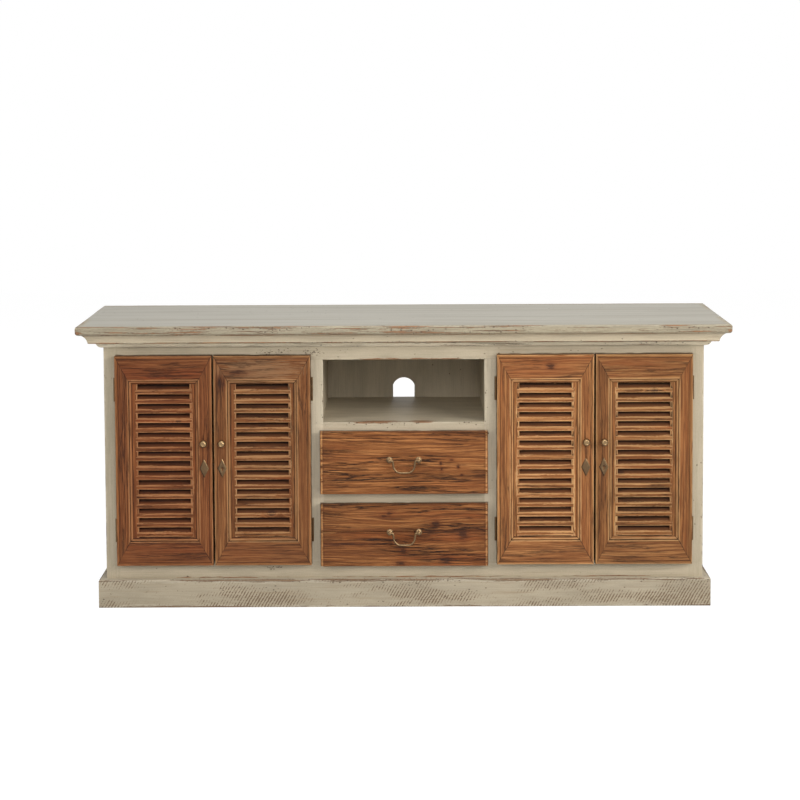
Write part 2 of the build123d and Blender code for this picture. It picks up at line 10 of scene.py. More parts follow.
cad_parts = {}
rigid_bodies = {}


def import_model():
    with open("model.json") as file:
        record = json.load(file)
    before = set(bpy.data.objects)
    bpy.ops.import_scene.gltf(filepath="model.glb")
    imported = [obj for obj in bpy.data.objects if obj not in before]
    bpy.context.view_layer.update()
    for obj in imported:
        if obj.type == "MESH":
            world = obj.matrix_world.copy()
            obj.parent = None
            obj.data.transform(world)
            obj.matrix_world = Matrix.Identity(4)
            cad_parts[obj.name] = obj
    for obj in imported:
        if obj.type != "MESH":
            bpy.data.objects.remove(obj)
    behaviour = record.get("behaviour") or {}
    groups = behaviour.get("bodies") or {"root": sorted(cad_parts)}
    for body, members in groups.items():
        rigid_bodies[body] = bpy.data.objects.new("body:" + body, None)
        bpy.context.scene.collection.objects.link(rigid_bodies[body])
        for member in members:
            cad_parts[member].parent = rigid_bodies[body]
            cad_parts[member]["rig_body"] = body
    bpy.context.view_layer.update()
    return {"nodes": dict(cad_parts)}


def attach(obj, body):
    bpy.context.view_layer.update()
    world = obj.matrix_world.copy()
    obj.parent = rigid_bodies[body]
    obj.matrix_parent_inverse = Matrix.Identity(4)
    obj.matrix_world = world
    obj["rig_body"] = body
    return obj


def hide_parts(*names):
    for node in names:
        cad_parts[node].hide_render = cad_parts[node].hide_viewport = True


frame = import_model()
farAway = 9.0  # metres, past everything here
print("frame loaded, nodes:", len(frame["nodes"]))

# Camera, lamps and white surroundings
studio = {
    "cameraPlace": (0.005, -4.8394, 1.4625),
    "lookDown": 0.0619,
    "turnLeft": 0.0027,
    "roll": -0.0046,
    "lens": 76.44,
    "shiftDown": 0.2661,
    "viewEnd": 60,
    "ambient": 0.06,
    "ambientColour": (1.0, 0.985, 0.96),
    "lampAim": (0.0, 0.0, 0.42),
    "floorHalf": 7.0,
    "floorLevel": -0.0005,
    "floorGlow": 0.985,
    "floorGrey": (0.10, 0.10, 0.10),
    "floorBounce": (0.75, 0.75, 0.74),
}
pureWhite = (1.0, 1.0, 1.0)
warmLight = (1.0, 0.97, 0.92)
softLight = (1.0, 0.98, 0.95)
coolLight = (0.95, 0.98, 1.0)
lamps = {
    "keyHigh": {"place": (2.7, -3.1, 2.9), "size": 1.5, "power": 58, "colour": warmLight},
    "keyWide": {"place": (4.2, -3.0, 2.0), "size": 1.5, "power": 76, "colour": warmLight},
    "fillLeft": {"place": (-3.2, -3.5, 2.5), "size": 2.0, "power": 60, "colour": softLight},
    "front": {"place": (0.3, -5.0, 2.3), "size": 2.2, "power": 60, "colour": softLight},
    "behind": {"place": (0.4, 5.4, 0.4), "size": 0.75, "power": 80, "colour": softLight},
    "overhead": {"place": (0.3, -0.7, 3.4), "size": 2.6, "power": 66, "colour": coolLight},
}


# Node helpers: each finds the tree from the socket that it is given
def setNode(tree, kind, **settings):
    made = tree.nodes.new("ShaderNode" + kind)
    for key, value in settings.items():
        setattr(made, key, value)
    return made


def isSocket(value):
    return isinstance(value, bpy.types.NodeSocket)


def feed(socket, value):
    if isSocket(value):
        socket.id_data.links.new(value, socket)
    else:
        socket.default_value = value


def calc(operation, *values, clamp=False):
    tree = next(value for value in values if isSocket(value)).id_data
    made = setNode(tree, "Math", operation=operation, use_clamp=clamp)
    for socket, value in zip(made.inputs, values):
        feed(socket, value)
    return made.outputs[0]


def chain(operation, *values):
    return reduce(partial(calc, operation), values)


times = partial(chain, "MULTIPLY")
plus = partial(chain, "ADD")
larger = partial(chain, "MAXIMUM")
smaller = partial(chain, "MINIMUM")
minus = partial(calc, "SUBTRACT")
share = partial(calc, "DIVIDE")
distanceTo = partial(calc, "ABSOLUTE")


def weigh(*pairs):
    return plus(*(times(value, weight) for value, weight in pairs))


def vectorCalc(operation, first, second=(0, 0, 0)):
    made = setNode(first.id_data, "VectorMath", operation=operation)
    feed(made.inputs[0], first)
    feed(made.inputs[1], second)
    return made.outputs["Value" if operation == "LENGTH" else "Vector"]


def parts(value, kind="SeparateXYZ"):
    made = setNode(value.id_data, kind)
    feed(made.inputs[0], value)
    return made.outputs


def ramp(value, start, full):
    made = setNode(value.id_data, "MapRange", interpolation_type="SMOOTHSTEP")
    for label, number in (("Value", value), ("From Min", start), ("From Max", full)):
        feed(made.inputs[label], number)
    return made.outputs["Result"]


def fade(value, name):
    return ramp(value, *limits[name])


def noise(vector, name):
    along, across, detail, roughness, *mask = patterns[name]
    made = setNode(vector.id_data, "TexNoise")
    feed(made.inputs["Vector"], vectorCalc("MULTIPLY", vector, (along, across, across)))
    for label, value in (("Scale", 1.0), ("Detail", detail), ("Roughness", roughness)):
        feed(made.inputs[label], value)
    return ramp(made.outputs["Fac"], *mask) if mask else made.outputs["Fac"]


def rgba(colour):
    return colour if isSocket(colour) else (*colour, 1.0)


def cover(colour, shades, layers):
    # each layer lays a shade over the last ones, as strongly as all its amounts multiplied
    for shade, *amounts in layers:
        amount = times(*amounts)
        made = setNode(amount.id_data, "Mix", data_type="RGBA")
        for place, value in ((0, amount), (6, rgba(colour)), (7, rgba(shades[shade]))):
            feed(made.inputs[place], value)
        colour = made.outputs[2]
    return colour


def reading(tree, name, label="Vector"):
    return setNode(tree, "Attribute", attribute_name=name).outputs[label]


def objectPlace(tree):
    return setNode(tree, "TexCoord").outputs["Object"]


def newMaterial(name):
    material = bpy.data.materials.new(name)
    material.use_nodes = True
    material.node_tree.nodes.clear()
    return material, material.node_tree


def makeStage():
    scene = bpy.context.scene
    scene.view_settings.view_transform = "Standard"
    bpy.ops.object.select_all(action="DESELECT")
    bpy.ops.object.camera_add()
    camera = bpy.context.object
    camera.name = "photoCamera"
    camera.matrix_world = (
        Matrix.Translation(studio["cameraPlace"])
        @ Matrix.Rotation(studio["turnLeft"], 4, "Z")
        @ Matrix.Rotation(math.pi / 2 - studio["lookDown"], 4, "X")
        @ Matrix.Rotation(studio["roll"], 4, "Z")
    )
    camera.data.lens = studio["lens"]
    camera.data.shift_y = -studio["shiftDown"]
    camera.data.clip_end = studio["viewEnd"]
    scene.camera = camera
    for name, lamp in lamps.items():
        bpy.ops.object.light_add(type="AREA", location=lamp["place"])
        light = bpy.context.object
        light.name = name
        light.data.energy = lamp["power"]
        light.data.size = lamp["size"]
        light.data.color = lamp["colour"]
        aim = Vector(studio["lampAim"]) - Vector(lamp["place"])
        light.rotation_euler = aim.to_track_quat("-Z", "Y").to_euler()
    makeWorld(scene)
    makeFloor()
    print("camera, lamps and floor ready")


def seenWhite(tree):
    # the white shows to the camera, in gloss and through glass, and lights nothing
    path = setNode(tree, "LightPath").outputs
    return larger(path["Is Camera Ray"], path["Is Glossy Ray"], path["Is Transmission Ray"])


def showWhite(tree, output, lit, seen):
    mix = setNode(tree, "MixShader")
    for socket, value in zip(mix.inputs, (seenWhite(tree), lit.outputs[0], seen.outputs[0])):
        feed(socket, value)
    feed(setNode(tree, output).inputs["Surface"], mix.outputs[0])


def plainShader(tree, kind, colour, **values):
    shader = setNode(tree, kind)
    feed(shader.inputs["Color"], rgba(colour))
    for label, value in values.items():
        feed(shader.inputs[label], value)
    return shader


def makeWorld(scene):
    world = bpy.data.worlds.new("whiteRoom")
    scene.world = world
    world.use_nodes = True
    tree = world.node_tree
    tree.nodes.clear()
    light = plainShader(tree, "Background", studio["ambientColour"], Strength=studio["ambient"])
    showWhite(tree, "OutputWorld", light, plainShader(tree, "Background", pureWhite))


def makeFloor():
    bpy.ops.object.select_all(action="DESELECT")
    bpy.ops.mesh.primitive_plane_add(size=2 * studio["floorHalf"], location=(0, 0, studio["floorLevel"]))
    floor = bpy.context.object
    floor.name = "floor"
    bpy.ops.object.transform_apply(location=True, rotation=True, scale=True)
    material, tree = newMaterial("floorWhite")
    both = setNode(tree, "AddShader")
    feed(both.inputs[0], plainShader(tree, "BsdfDiffuse", studio["floorGrey"]).outputs[0])
    feed(both.inputs[1], plainShader(tree, "Emission", pureWhite, Strength=studio["floorGlow"]).outputs[0])
    showWhite(tree, "OutputMaterial", plainShader(tree, "BsdfDiffuse", studio["floorBounce"]), both)
    floor.data.materials.append(material)


makeStage()


# Shader groups that several finishes share
# noise: repeats to a metre along and across the grain, detail, roughness, and its mask's start and full value
patterns = {
    "sway": (3.0, 7.0, 2.0, 0.55),
    "drift": (1.6, 18.0, 3.0, 0.55),
    "broad": (1.3, 20.0, 4.0, 0.6, 0.3, 0.7),
    "lines": (6.5, 230.0, 5.0, 0.7, 0.39, 0.58),
    "fibre": (9.0, 560.0, 4.0, 0.7),
    "weather": (11.0, 290.0, 6.0, 0.72, 0.47, 0.39),
    "crackLine": (3.6, 80.0, 5.0, 0.66),
    "crackPatch": (3.2, 22.0, 2.0, 0.55, 0.42, 0.55),
    "wearStreak": (8.0, 250.0, 4.0, 0.62),
    "wearPatch": (2.6, 12.0, 3.0, 0.55),
    "wearNibble": (110.0, 420.0, 3.0, 0.65),
    "pitEdge": (400.0, 600.0, 2.0, 0.55),
    "spotEdge": (26.0, 330.0, 4.0, 0.65),
    "brush": (11.0, 380.0, 3.0, 0.6),
    "mottle": (4.0, 16.0, 5.0, 0.65),
    "grit": (260.0, 420.0, 2.0, 0.55),
    "chipPatch": (3.0, 22.0, 3.0, 0.55, 0.45, 0.65),
    "plank": (1.5, 44.0, 5.0, 0.64, 0.56, 0.36),
    "thinPaint": (5.0, 170.0, 4.0, 0.62, 0.57, 0.72),
    "gapBreaks": (18.0, 60.0, 3.0, 0.55, 0.3, 0.55),
    "sawShake": (14.0, 40.0, 2.0, 0.55),
    "sawPatch": (5.0, 20.0, 4.0, 0.6, 0.4, 0.6),
    "sawBreaks": (80.0, 190.0, 3.0, 0.6),
    "stain": (2.2, 24.0, 4.0, 0.62, 0.45, 0.7),
    "ringPatch": (4.5, 46.0, 4.0, 0.6, 0.36, 0.58),
    "lineBreaks": (16.0, 240.0, 4.0, 0.62, 0.3, 0.55),
    "jointBreaks": (14.0, 40.0, 3.0, 0.55, 0.36, 0.6),
    "endStreaks": (9.0, 160.0, 4.0, 0.65, 0.62, 0.42),
    "endDots": (60.0, 130.0, 3.0, 0.6),
    "brassCloud": (170.0, 170.0, 4.0, 0.6),
    "brassSpeck": (900.0, 900.0, 3.0, 0.6),
    "plasticGrain": (900.0, 900.0, 2.0, 0.55),
}
# where a mask starts and where it is full
limits = {
    "knotSwing": (3.6, 0.6),
    "lateStart": (0.62, 0.78),
    "lateEnd": (1.0, 0.92),
    "crack": (0.036, 0.008),
    "knotCore": (1.3, 0.5),
    "wornThrough": (0.0, 0.45),
    "wornOutline": (-0.3, 0.0),
    "wornRim": (-1.3, -0.3),
    "pitDot": (-0.05, 0.08),
    "spotCore": (1.05, 0.45),
    "spotHalo": (2.3, 0.7),
    "unevenPaint": (1.0, 1.75),
    "bareWood": (0.42, 0.75),
    "chipped": (0.009, 0.002),
    "openTop": (0.004, 0.02),
    "gapEdge": (-0.0016, -0.0006),
    "sawLow": (0.07, 0.01),
    "sawStroke": (0.0, 0.2),
    "rubbedFibre": (0.2, 0.62),
    "joint": (0.0016, 0.0004),
    "doorSide": (0.0025, 0.0008),
    "drawerRim": (0.0045, 0.0012),
    "drawerEnd": (0.06, 0.012),
    "stripOff": (0.0008, 0.0026),
    "stripDots": (0.62, 0.5),
    "innerDots": (0.36, 0.6),
    "grime": (0.0014, 0.0003),
    "tarnish": (-0.1, 0.3),
    "shine": (0.35, 1.0),
    "specks": (0.56, 0.72),
}
fibreLook = {"smallestKnot": 0.0001, "knotLength": 0.62, "knotRagged": 0.9, "sway": 0.02, "ringDrift": 7.0}
wearLook = {"wearStreak": 6.0, "wearPatch": 2.8, "wearNibble": 1.8, "cover": 2.4, "kept": 6.5}
pitLook = {"cells": (150.0, 240.0, 240.0), "ownSize": 0.3, "edge": 1.1, "kept": 0.4}


def newGroup(name, inputs, outputs):
    group = bpy.data.node_groups.new(name, "ShaderNodeTree")
    for label, kind in inputs.items():
        group.interface.new_socket(label, in_out="INPUT", socket_type="NodeSocket" + kind)
    for label in outputs:
        group.interface.new_socket(label, in_out="OUTPUT", socket_type="NodeSocketFloat")
    start = group.nodes.new("NodeGroupInput").outputs
    end = group.nodes.new("NodeGroupOutput").inputs
    return group, start, end


def closeGroup(end, **found):
    for label, value in found.items():
        feed(end[label], value)


def placeGroup(tree, group, **values):
    made = setNode(tree, "Group", node_tree=group)
    for label, value in values.items():
        feed(made.inputs[label], value)
    return made.outputs


def makeFibreGroup():
    group, start, end = newGroup(
        "woodFibre",
        {"Grain": "Vector", "Knot": "Vector", "Ring": "Float"},
        ("Broad", "Lines", "Late", "Fibre", "Weather", "Crack", "Knot"),
    )
    grain, away = parts(start["Grain"]), parts(start["Knot"])
    radius = larger(away["Z"], fibreLook["smallestKnot"])
    along = share(times(away["X"], fibreLook["knotLength"]), radius)
    across = share(away["Y"], radius)
    distance = calc("SQRT", plus(calc("POWER", along, 2.0), calc("POWER", across, 2.0)))
    # fibres swing round the knot
    bulge = times(minus(distance, distanceTo(across)), fade(distance, "knotSwing"))
    bulge = times(bulge, calc("SIGN", across), radius)
    sway = times(minus(noise(start["Grain"], "sway"), 0.5), fibreLook["sway"])
    bent = plus(grain["Y"], bulge, sway)
    flow = setNode(group, "CombineXYZ")
    for label, value in (("X", grain["X"]), ("Y", bent), ("Z", grain["Z"])):
        feed(flow.inputs[label], value)
    fibres = flow.outputs[0]
    drift = noise(fibres, "drift")
    saw = calc("FRACT", plus(share(bent, start["Ring"]), times(drift, fibreLook["ringDrift"])))
    line = distanceTo(minus(noise(fibres, "crackLine"), 0.5))
    rough = plus(distance, times(minus(drift, 0.5), fibreLook["knotRagged"]))
    closeGroup(
        end,
        Late=times(fade(saw, "lateStart"), fade(saw, "lateEnd")),
        Crack=times(fade(line, "crack"), noise(fibres, "crackPatch")),
        Knot=fade(rough, "knotCore"),
        **{name.capitalize(): noise(fibres, name) for name in ("broad", "lines", "fibre", "weather")},
    )
    return group


def makeWearGroup():
    group, start, end = newGroup(
        "arrisWear",
        {"Arris": "Color", "Grain": "Vector", "Reach": "Float", "Cover": "Float"},
        ("Mask", "Outline", "Rim", "Near"),
    )
    nearest = smaller(*parts(start["Arris"], "SeparateColor"))
    kinds = ("wearStreak", "wearPatch", "wearNibble")
    marks = [(noise(start["Grain"], kind), wearLook[kind]) for kind in kinds]
    lean = weigh(*marks, (start["Cover"], wearLook["cover"]))
    left = minus(minus(lean, wearLook["kept"]), share(nearest, start["Reach"]))
    # the dark outline round a worn patch is chipped paint edge with a painted shadow of that edge, and the
    # pale rim past it is undercoat with a painted highlight
    mask, outline, rim = (fade(left, name) for name in ("wornThrough", "wornOutline", "wornRim"))
    outlineOnly = minus(outline, mask, clamp=True)
    closeGroup(end, Mask=mask, Outline=outlineOnly, Rim=minus(rim, outline, clamp=True), Near=nearest)
    return group


def makePitGroup():
    # each cell holds one dot of its own size, or none
    group, start, end = newGroup("pitMarks", {"Grain": "Vector", "Chance": "Float"}, ("Mask",))
    spots = setNode(group, "TexVoronoi", feature="F1")
    feed(spots.inputs["Vector"], vectorCalc("MULTIPLY", start["Grain"], pitLook["cells"]))
    feed(spots.inputs["Scale"], 1.0)
    dice = parts(spots.outputs["Color"], "SeparateColor")
    edge = noise(start["Grain"], "pitEdge")
    size = minus(weigh((dice[1], pitLook["ownSize"]), (edge, pitLook["edge"])), pitLook["kept"])
    dot = fade(minus(size, spots.outputs["Distance"]), "pitDot")
    closeGroup(end, Mask=times(dot, calc("LESS_THAN", dice[0], start["Chance"])))
    return group


def makeSpotGroup():
    group, start, end = newGroup(
        "ovalSpot",
        {"Place": "Vector", "Grain": "Vector", "Centre": "Vector", "Reach": "Vector", "Ragged": "Float"},
        ("Mask", "Halo"),
    )
    away = vectorCalc("SUBTRACT", start["Place"], start["Centre"])
    ragged = times(minus(noise(start["Grain"], "spotEdge"), 0.5), start["Ragged"])
    size = plus(vectorCalc("LENGTH", vectorCalc("DIVIDE", away, start["Reach"])), ragged)
    closeGroup(end, Mask=fade(size, "spotCore"), Halo=fade(size, "spotHalo"))
    return group


fibreGroup = makeFibreGroup()
wearGroup = makeWearGroup()
pitGroup = makePitGroup()
spotGroup = makeSpotGroup()


def spotsAt(grain, places, ragged, label="Mask"):
    # places are (x, z, half width, half height) on the front, in metres
    tree = grain.id_data
    common = {"Place": objectPlace(tree), "Grain": grain, "Ragged": ragged}
    return larger(*(
        placeGroup(tree, spotGroup, Centre=(x, 0.0, z), Reach=(width, farAway, height), **common)[label]
        for x, z, width, height in places
    ))


def surfaceOf(tree, look):
    grain = reading(tree, "grain")
    fibre = placeGroup(tree, fibreGroup, Grain=grain, Knot=reading(tree, "knot"), Ring=look["ring"])
    arris = reading(tree, "arris", "Color")
    reach, amount = look["wearReach"], look["wearCover"]
    wear = placeGroup(tree, wearGroup, Arris=arris, Grain=grain, Reach=reach, Cover=amount)
    return grain, fibre, wear


def closeMaterial(colour, roughness, height, relief, gloss=0.5, metal=0.0):
    tree = colour.id_data
    bump = setNode(tree, "Bump")
    feed(bump.inputs["Distance"], relief)
    feed(bump.inputs["Height"], height)
    shader = setNode(tree, "BsdfPrincipled")
    finish = {"Base Color": colour, "Roughness": roughness, "Normal": bump.outputs[0]}
    for label, value in {**finish, "Specular IOR Level": gloss, "Metallic": metal}.items():
        feed(shader.inputs[label], value)
    feed(setNode(tree, "OutputMaterial").inputs["Surface"], shader.outputs[0])


# Painted case: chalky cream over wood, rubbed through on the arrises
casePaint = {
    "cream": (0.53, 0.455, 0.335),
    "shade": (0.40, 0.345, 0.25),
    "pale": (0.66, 0.59, 0.46),
    "rubbed": (0.31, 0.235, 0.15),
    "bareWood": (0.33, 0.165, 0.08),
    "oldWood": (0.075, 0.045, 0.027),
    "outline": (0.15, 0.10, 0.06),
    "sawn": (0.20, 0.13, 0.075),
    "plank": (0.25, 0.218, 0.165),
    "grime": (0.10, 0.075, 0.05),
    "ring": 0.009,
    "wearReach": 0.0030,
    "wearCover": 0.22,
    "rub": 0.35,
    "rims": 0.55,
    "outlines": 0.6,
    "lift": 0.0,
    "pits": 0.03,
    "pitDepth": 0.85,
    "pitFill": 0.95,
    "pitRagged": 1.0,
    "bareRagged": 4.5,
    "chips": 0.35,
    "mottle": 1.5,
    "brush": 0.75,
    "grit": 0.5,
    "brushRise": 0.3,
    "gritRise": 0.15,
    "woodFibre": 0.7,
    "woodMottle": 0.6,
    "pitPlaces": (
        (-0.355, 0.7165, 0.026, 0.006), (-0.256, 0.7142, 0.020, 0.0055), (-0.3675, 0.109, 0.016, 0.005),
    ),
    "barePlaces": (
        (-0.08, 0.5162, 0.07, 0.0036), (0.05, 0.5168, 0.04, 0.0026), (-0.02, 0.6938, 0.10, 0.003),
        (0.10, 0.6942, 0.07, 0.002), (-0.5, 0.0798, 0.16, 0.0016), (0.08, 0.0798, 0.22, 0.0016),
        (0.55, 0.0798, 0.12, 0.0014),
    ),
    "saw": 0.0,
    "plankLines": 0.0,
    "gapLine": 0.75,
    "gapReach": 0.0028,
    "gapCore": 0.3,
    "relief": 0.0006,
    "roughness": 0.6,
    "bareDull": 0.15,
    "gloss": 0.35,
}
# the top carries a painted sheen: its open colour is laid on away from the arrises
topPaint = dict(
    casePaint, cream=(0.345, 0.293, 0.2), shade=(0.262, 0.222, 0.15), pale=(0.46, 0.405, 0.295),
    open=(0.38, 0.36, 0.31), wearReach=0.012, wearCover=0.38, rub=0.4, lift=0.8, pits=0.02, gapLine=0.0,
    plankLines=0.55, pitPlaces=(), roughness=0.48,
    barePlaces=((-0.894, 0.779, 0.010, 0.007), (0.894, 0.779, 0.008, 0.005)),
)
# the cove's cream is painted paler: painted light on its shaded hollow
coveLitPaint = dict(
    casePaint, cream=(0.62, 0.53, 0.385), shade=(0.47, 0.40, 0.29), pale=(0.72, 0.64, 0.49),
    bareWood=(0.42, 0.215, 0.105), wearReach=0.0036, wearCover=0.66, rub=0.5, gapLine=0.0,
    pitPlaces=(), barePlaces=(),
)
# the bed mould's cream is painted much paler: painted light where the cove shades it
bedLitPaint = dict(
    coveLitPaint, cream=(0.82, 0.72, 0.54), shade=(0.68, 0.59, 0.44), pale=(0.86, 0.78, 0.62),
    wearCover=0.2, rub=0.2, chips=0.1,
)
# the inner stiles' cream is painted paler: painted light where the doors and drawers shade them
stileLitPaint = dict(casePaint, cream=(0.58, 0.505, 0.38), shade=(0.44, 0.382, 0.284), chips=0.5)
plinthPaint = dict(
    casePaint, cream=(0.44, 0.377, 0.278), shade=(0.33, 0.283, 0.206), pale=(0.54, 0.48, 0.38),
    bareWood=(0.23, 0.145, 0.085), oldWood=(0.11, 0.075, 0.048), sawn=(0.165, 0.11, 0.066),
    wearReach=0.0042, wearCover=0.62, rub=0.6, pits=0.12, gapLine=0.0, pitPlaces=(), barePlaces=(),
    saw=0.95, sawLean=30, sawStrokes=135.0, sawShake=0.7, sawPatch=0.32, sawBreaks=0.7, sawLow=0.14,
    sawKept=0.45, ledge=(0.0762, 0.0772), ledgePale=(0.50, 0.435, 0.33),
)
insidePaint = dict(casePaint, wearCover=0.15, pits=0.01, chips=0.1, gapLine=0.0, pitPlaces=(), barePlaces=())


def paintMaterial(name, look):
    material, tree = newMaterial(name)
    grain, fibre, wear = surfaceOf(tree, look)
    brush, mottle, grit = (noise(grain, pattern) for pattern in ("brush", "mottle", "grit"))
    chance = plus(times(fade(wear["Near"], "chipped"), look["chips"]), look["pits"])
    chance = times(chance, noise(grain, "chipPatch"))
    if look["pitPlaces"]:
        marked = spotsAt(grain, look["pitPlaces"], look["pitRagged"], "Halo")
        chance = plus(chance, times(marked, look["pitFill"]))
    pits = placeGroup(tree, pitGroup, Grain=grain, Chance=chance)["Mask"]
    gone = wear["Mask"]
    if look["barePlaces"]:
        gone = larger(gone, spotsAt(grain, look["barePlaces"], look["bareRagged"]))
    uneven = weigh((mottle, look["mottle"]), (brush, look["brush"]), (grit, look["grit"]))
    layers = [("shade", fade(uneven, "unevenPaint"))]
    # painted sheen: the top is painted paler away from its arrises
    if look["lift"]:
        layers.append(("open", fade(wear["Near"], "openTop"), look["lift"]))
    if look["plankLines"]:
        layers.append(("plank", noise(grain, "plank"), look["plankLines"]))
    # the pale rim is undercoat with a painted highlight along the paint edge
    layers += [("rubbed", noise(grain, "thinPaint"), look["rub"]), ("pale", wear["Rim"], look["rims"])]
    if look["saw"]:
        height = parts(objectPlace(tree))["Z"]
        layers.append(("sawn", sawMarks(grain, height, look), look["saw"]))
        # painted light: the plinth's upward ledge is painted paler where it lies in shade
        layers.append(("ledgePale", ramp(height, *look["ledge"])))
    # a painted shadow line round the closed doors and drawers
    if look["gapLine"]:
        layers.append(("grime", paintedGapShadow(grain, look), look["gapLine"]))
    # the dark outline is chipped paint edge with its painted shadow
    layers.append(("outline", wear["Outline"], look["outlines"]))
    layers += [("bare", gone), ("oldWood", pits, look["pitDepth"])]
    woodTone = weigh((fibre["Fibre"], look["woodFibre"]), (mottle, look["woodMottle"]))
    bare = cover(look["oldWood"], look, [("bareWood", fade(woodTone, "bareWood"))])
    colour = cover(look["cream"], dict(look, bare=bare), layers)
    lost = larger(gone, pits)
    height = minus(weigh((brush, look["brushRise"]), (grit, look["gritRise"])), lost)
    roughness = plus(look["roughness"], times(lost, look["bareDull"]))
    closeMaterial(colour, roughness, height, look["relief"], look["gloss"])
    return material


def frontBox(*nodes):
    # x and z reach of nodes on the front
    spots = np.array([vertex.co for node in nodes for vertex in frame["nodes"][node].data.vertices])
    low, high = spots.min(0), spots.max(0)
    return float(low[0]), float(high[0]), float(low[2]), float(high[2])


def pastEdge(place, low, high):
    return minus(distanceTo(minus(place, (low + high) / 2)), (high - low) / 2)


def paintedGapShadow(grain, look):
    # a thin painted shadow line on the case where the doors and drawers close, the doors mirrored about the
    # middle
    place = parts(objectPlace(grain.id_data))
    aside = distanceTo(place["X"])
    nearest = smaller(*(
        larger(pastEdge(aside, left, right), pastEdge(place["Z"], bottom, top))
        for left, right, bottom, top in closingBoxes
    ))
    reach = look["gapReach"]
    line = ramp(nearest, reach, reach * look["gapCore"])
    return times(line, fade(nearest, "gapEdge"), noise(grain, "gapBreaks"))


def sawMarks(grain, height, look):
    turned = setNode(grain.id_data, "Mapping")
    feed(turned.inputs["Vector"], grain)
    feed(turned.inputs["Rotation"], (0, 0, math.radians(look["sawLean"])))
    along = parts(turned.outputs[0])["X"]
    stroke = weigh((along, look["sawStrokes"]), (noise(grain, "sawShake"), look["sawShake"]))
    line = distanceTo(minus(calc("FRACT", stroke), 0.5))
    marks = [(noise(grain, name), look[name]) for name in ("sawPatch", "sawBreaks")]
    strength = weigh(*marks, (fade(height, "sawLow"), look["sawLow"]))
    return fade(minus(minus(strength, look["sawKept"]), line), "sawStroke")


# Doors and drawer fronts: weathered reclaimed pine with a dull wax
doorPine = {
    "dark": (0.125, 0.039, 0.0125),
    "middle": (0.290, 0.099, 0.030),
    "light": (0.44, 0.180, 0.060),
    "red": (0.31, 0.078, 0.021),
    "worn": (0.60, 0.29, 0.115),
    "grey": (0.42, 0.215, 0.10),
    "crack": (0.020, 0.009, 0.005),
    "knot": (0.055, 0.018, 0.008),
    "halo": (0.17, 0.042, 0.014),
    "tone": 0.8,
    "warmth": (1.0, 1.0, 1.0),
    "ring": 0.0078,
    "rings": 0.6,
    "lines": 0.65,
    "broad": 0.4,
    "fibre": 0.4,
    "ownTone": 0.2,
    "toneSteps": (0.1, 0.3, 0.2, 0.85),
    "redBoards": 0.8,
    "weather": 0.55,
    "cracks": 0.6,
    "knotPlaces": (),
    "knotRagged": 4.0,
    "knotDepth": 0.85,
    "knotDent": 0.5,
    "haloDepth": 0.5,
    "redPlaces": (),
    "redDepth": 0.8,
    "greyPlaces": (),
    "greyDepth": 0.6,
    "stainRagged": 3.0,
    "wearReach": 0.0019,
    "wearCover": 0.8,
    "rubbed": 0.85,
    "frameLines": (),
    "lineCore": 0.5,
    "grime": 0.7,
    "recess": 0.0,
    "endStrip": 0.0,
    "endShade": 0.0,
    "mitre": 0.85,
    "rim": 0.0,
    "sideShade": 0.0,
    "relief": 0.001,
    "roughness": 0.65,
    "waxed": 0.14,
    "gloss": 0.2,
}
woodShades = ("dark", "middle", "light", "red", "grey", "worn", "crack", "knot", "halo")
doorFinishes = {
    "door_1": dict(doorPine, tone=0.71, warmth=(1.0, 0.93, 0.94), redPlaces=((-0.686, 0.6465, 0.06, 0.006),)),
    "door_2": dict(
        doorPine, tone=0.74, warmth=(1.0, 1.08, 1.15), greyPlaces=((-0.40, 0.668, 0.14, 0.04),),
        knotPlaces=((-0.5084, 0.6334, 0.012, 0.016), (-0.4613, 0.661, 0.028, 0.006)),
    ),
    "door_3": dict(
        doorPine, tone=1.03, warmth=(1.0, 1.12, 1.19), knotPlaces=((0.407, 0.6768, 0.011, 0.009),),
    ),
    "door_4": dict(doorPine, tone=0.84, warmth=(1.0, 1.14, 1.2)),
}
drawerPine = dict(
    doorPine, ring=0.0088, rings=0.85, lines=0.7, weather=0.7, cracks=0.95, wearReach=0.0014, wearCover=0.35,
    endStrip=0.0075, stripCore=0.7, stripDepth=0.7, innerSpan=(0.8, 1.9), innerDepth=0.75, endShade=0.5,
    rim=0.7, grime=0.95, relief=0.0016,
)
drawerFinishes = {
    "upper_drawer": dict(
        drawerPine, tone=1.11, warmth=(1.0, 1.06, 1.03),
        knotPlaces=(
            (0.1019, 0.4045, 0.0045, 0.007), (0.1045, 0.3885, 0.0035, 0.006), (0.1322, 0.4145, 0.007, 0.003),
            (0.1507, 0.3960, 0.004, 0.006), (0.1600, 0.3717, 0.004, 0.003),
        ),
    ),
    "lower_drawer": dict(
        drawerPine, tone=0.92, warmth=(1.0, 1.04, 1.0),
        knotPlaces=(
            (-0.0418, 0.2652, 0.011, 0.008), (-0.0568, 0.2565, 0.008, 0.005), (0.0877, 0.2339, 0.012, 0.011),
            (0.1619, 0.2026, 0.016, 0.014), (-0.0036, 0.1606, 0.01, 0.012), (0.1164, 0.1344, 0.015, 0.009),
            (-0.0101, 0.124, 0.016, 0.006), (-0.1658, 0.179, 0.08, 0.0035),
        ),
    ),
}
plainPine = dict(
    doorPine, dark=(0.34, 0.21, 0.11), middle=(0.50, 0.34, 0.19), light=(0.60, 0.43, 0.26),
    red=(0.50, 0.32, 0.17), worn=(0.62, 0.46, 0.30), crack=(0.16, 0.09, 0.045), knot=(0.22, 0.12, 0.06),
    tone=1.0, rings=0.5, weather=0.1, cracks=0.1, wearCover=0.2, roughness=0.7,
)
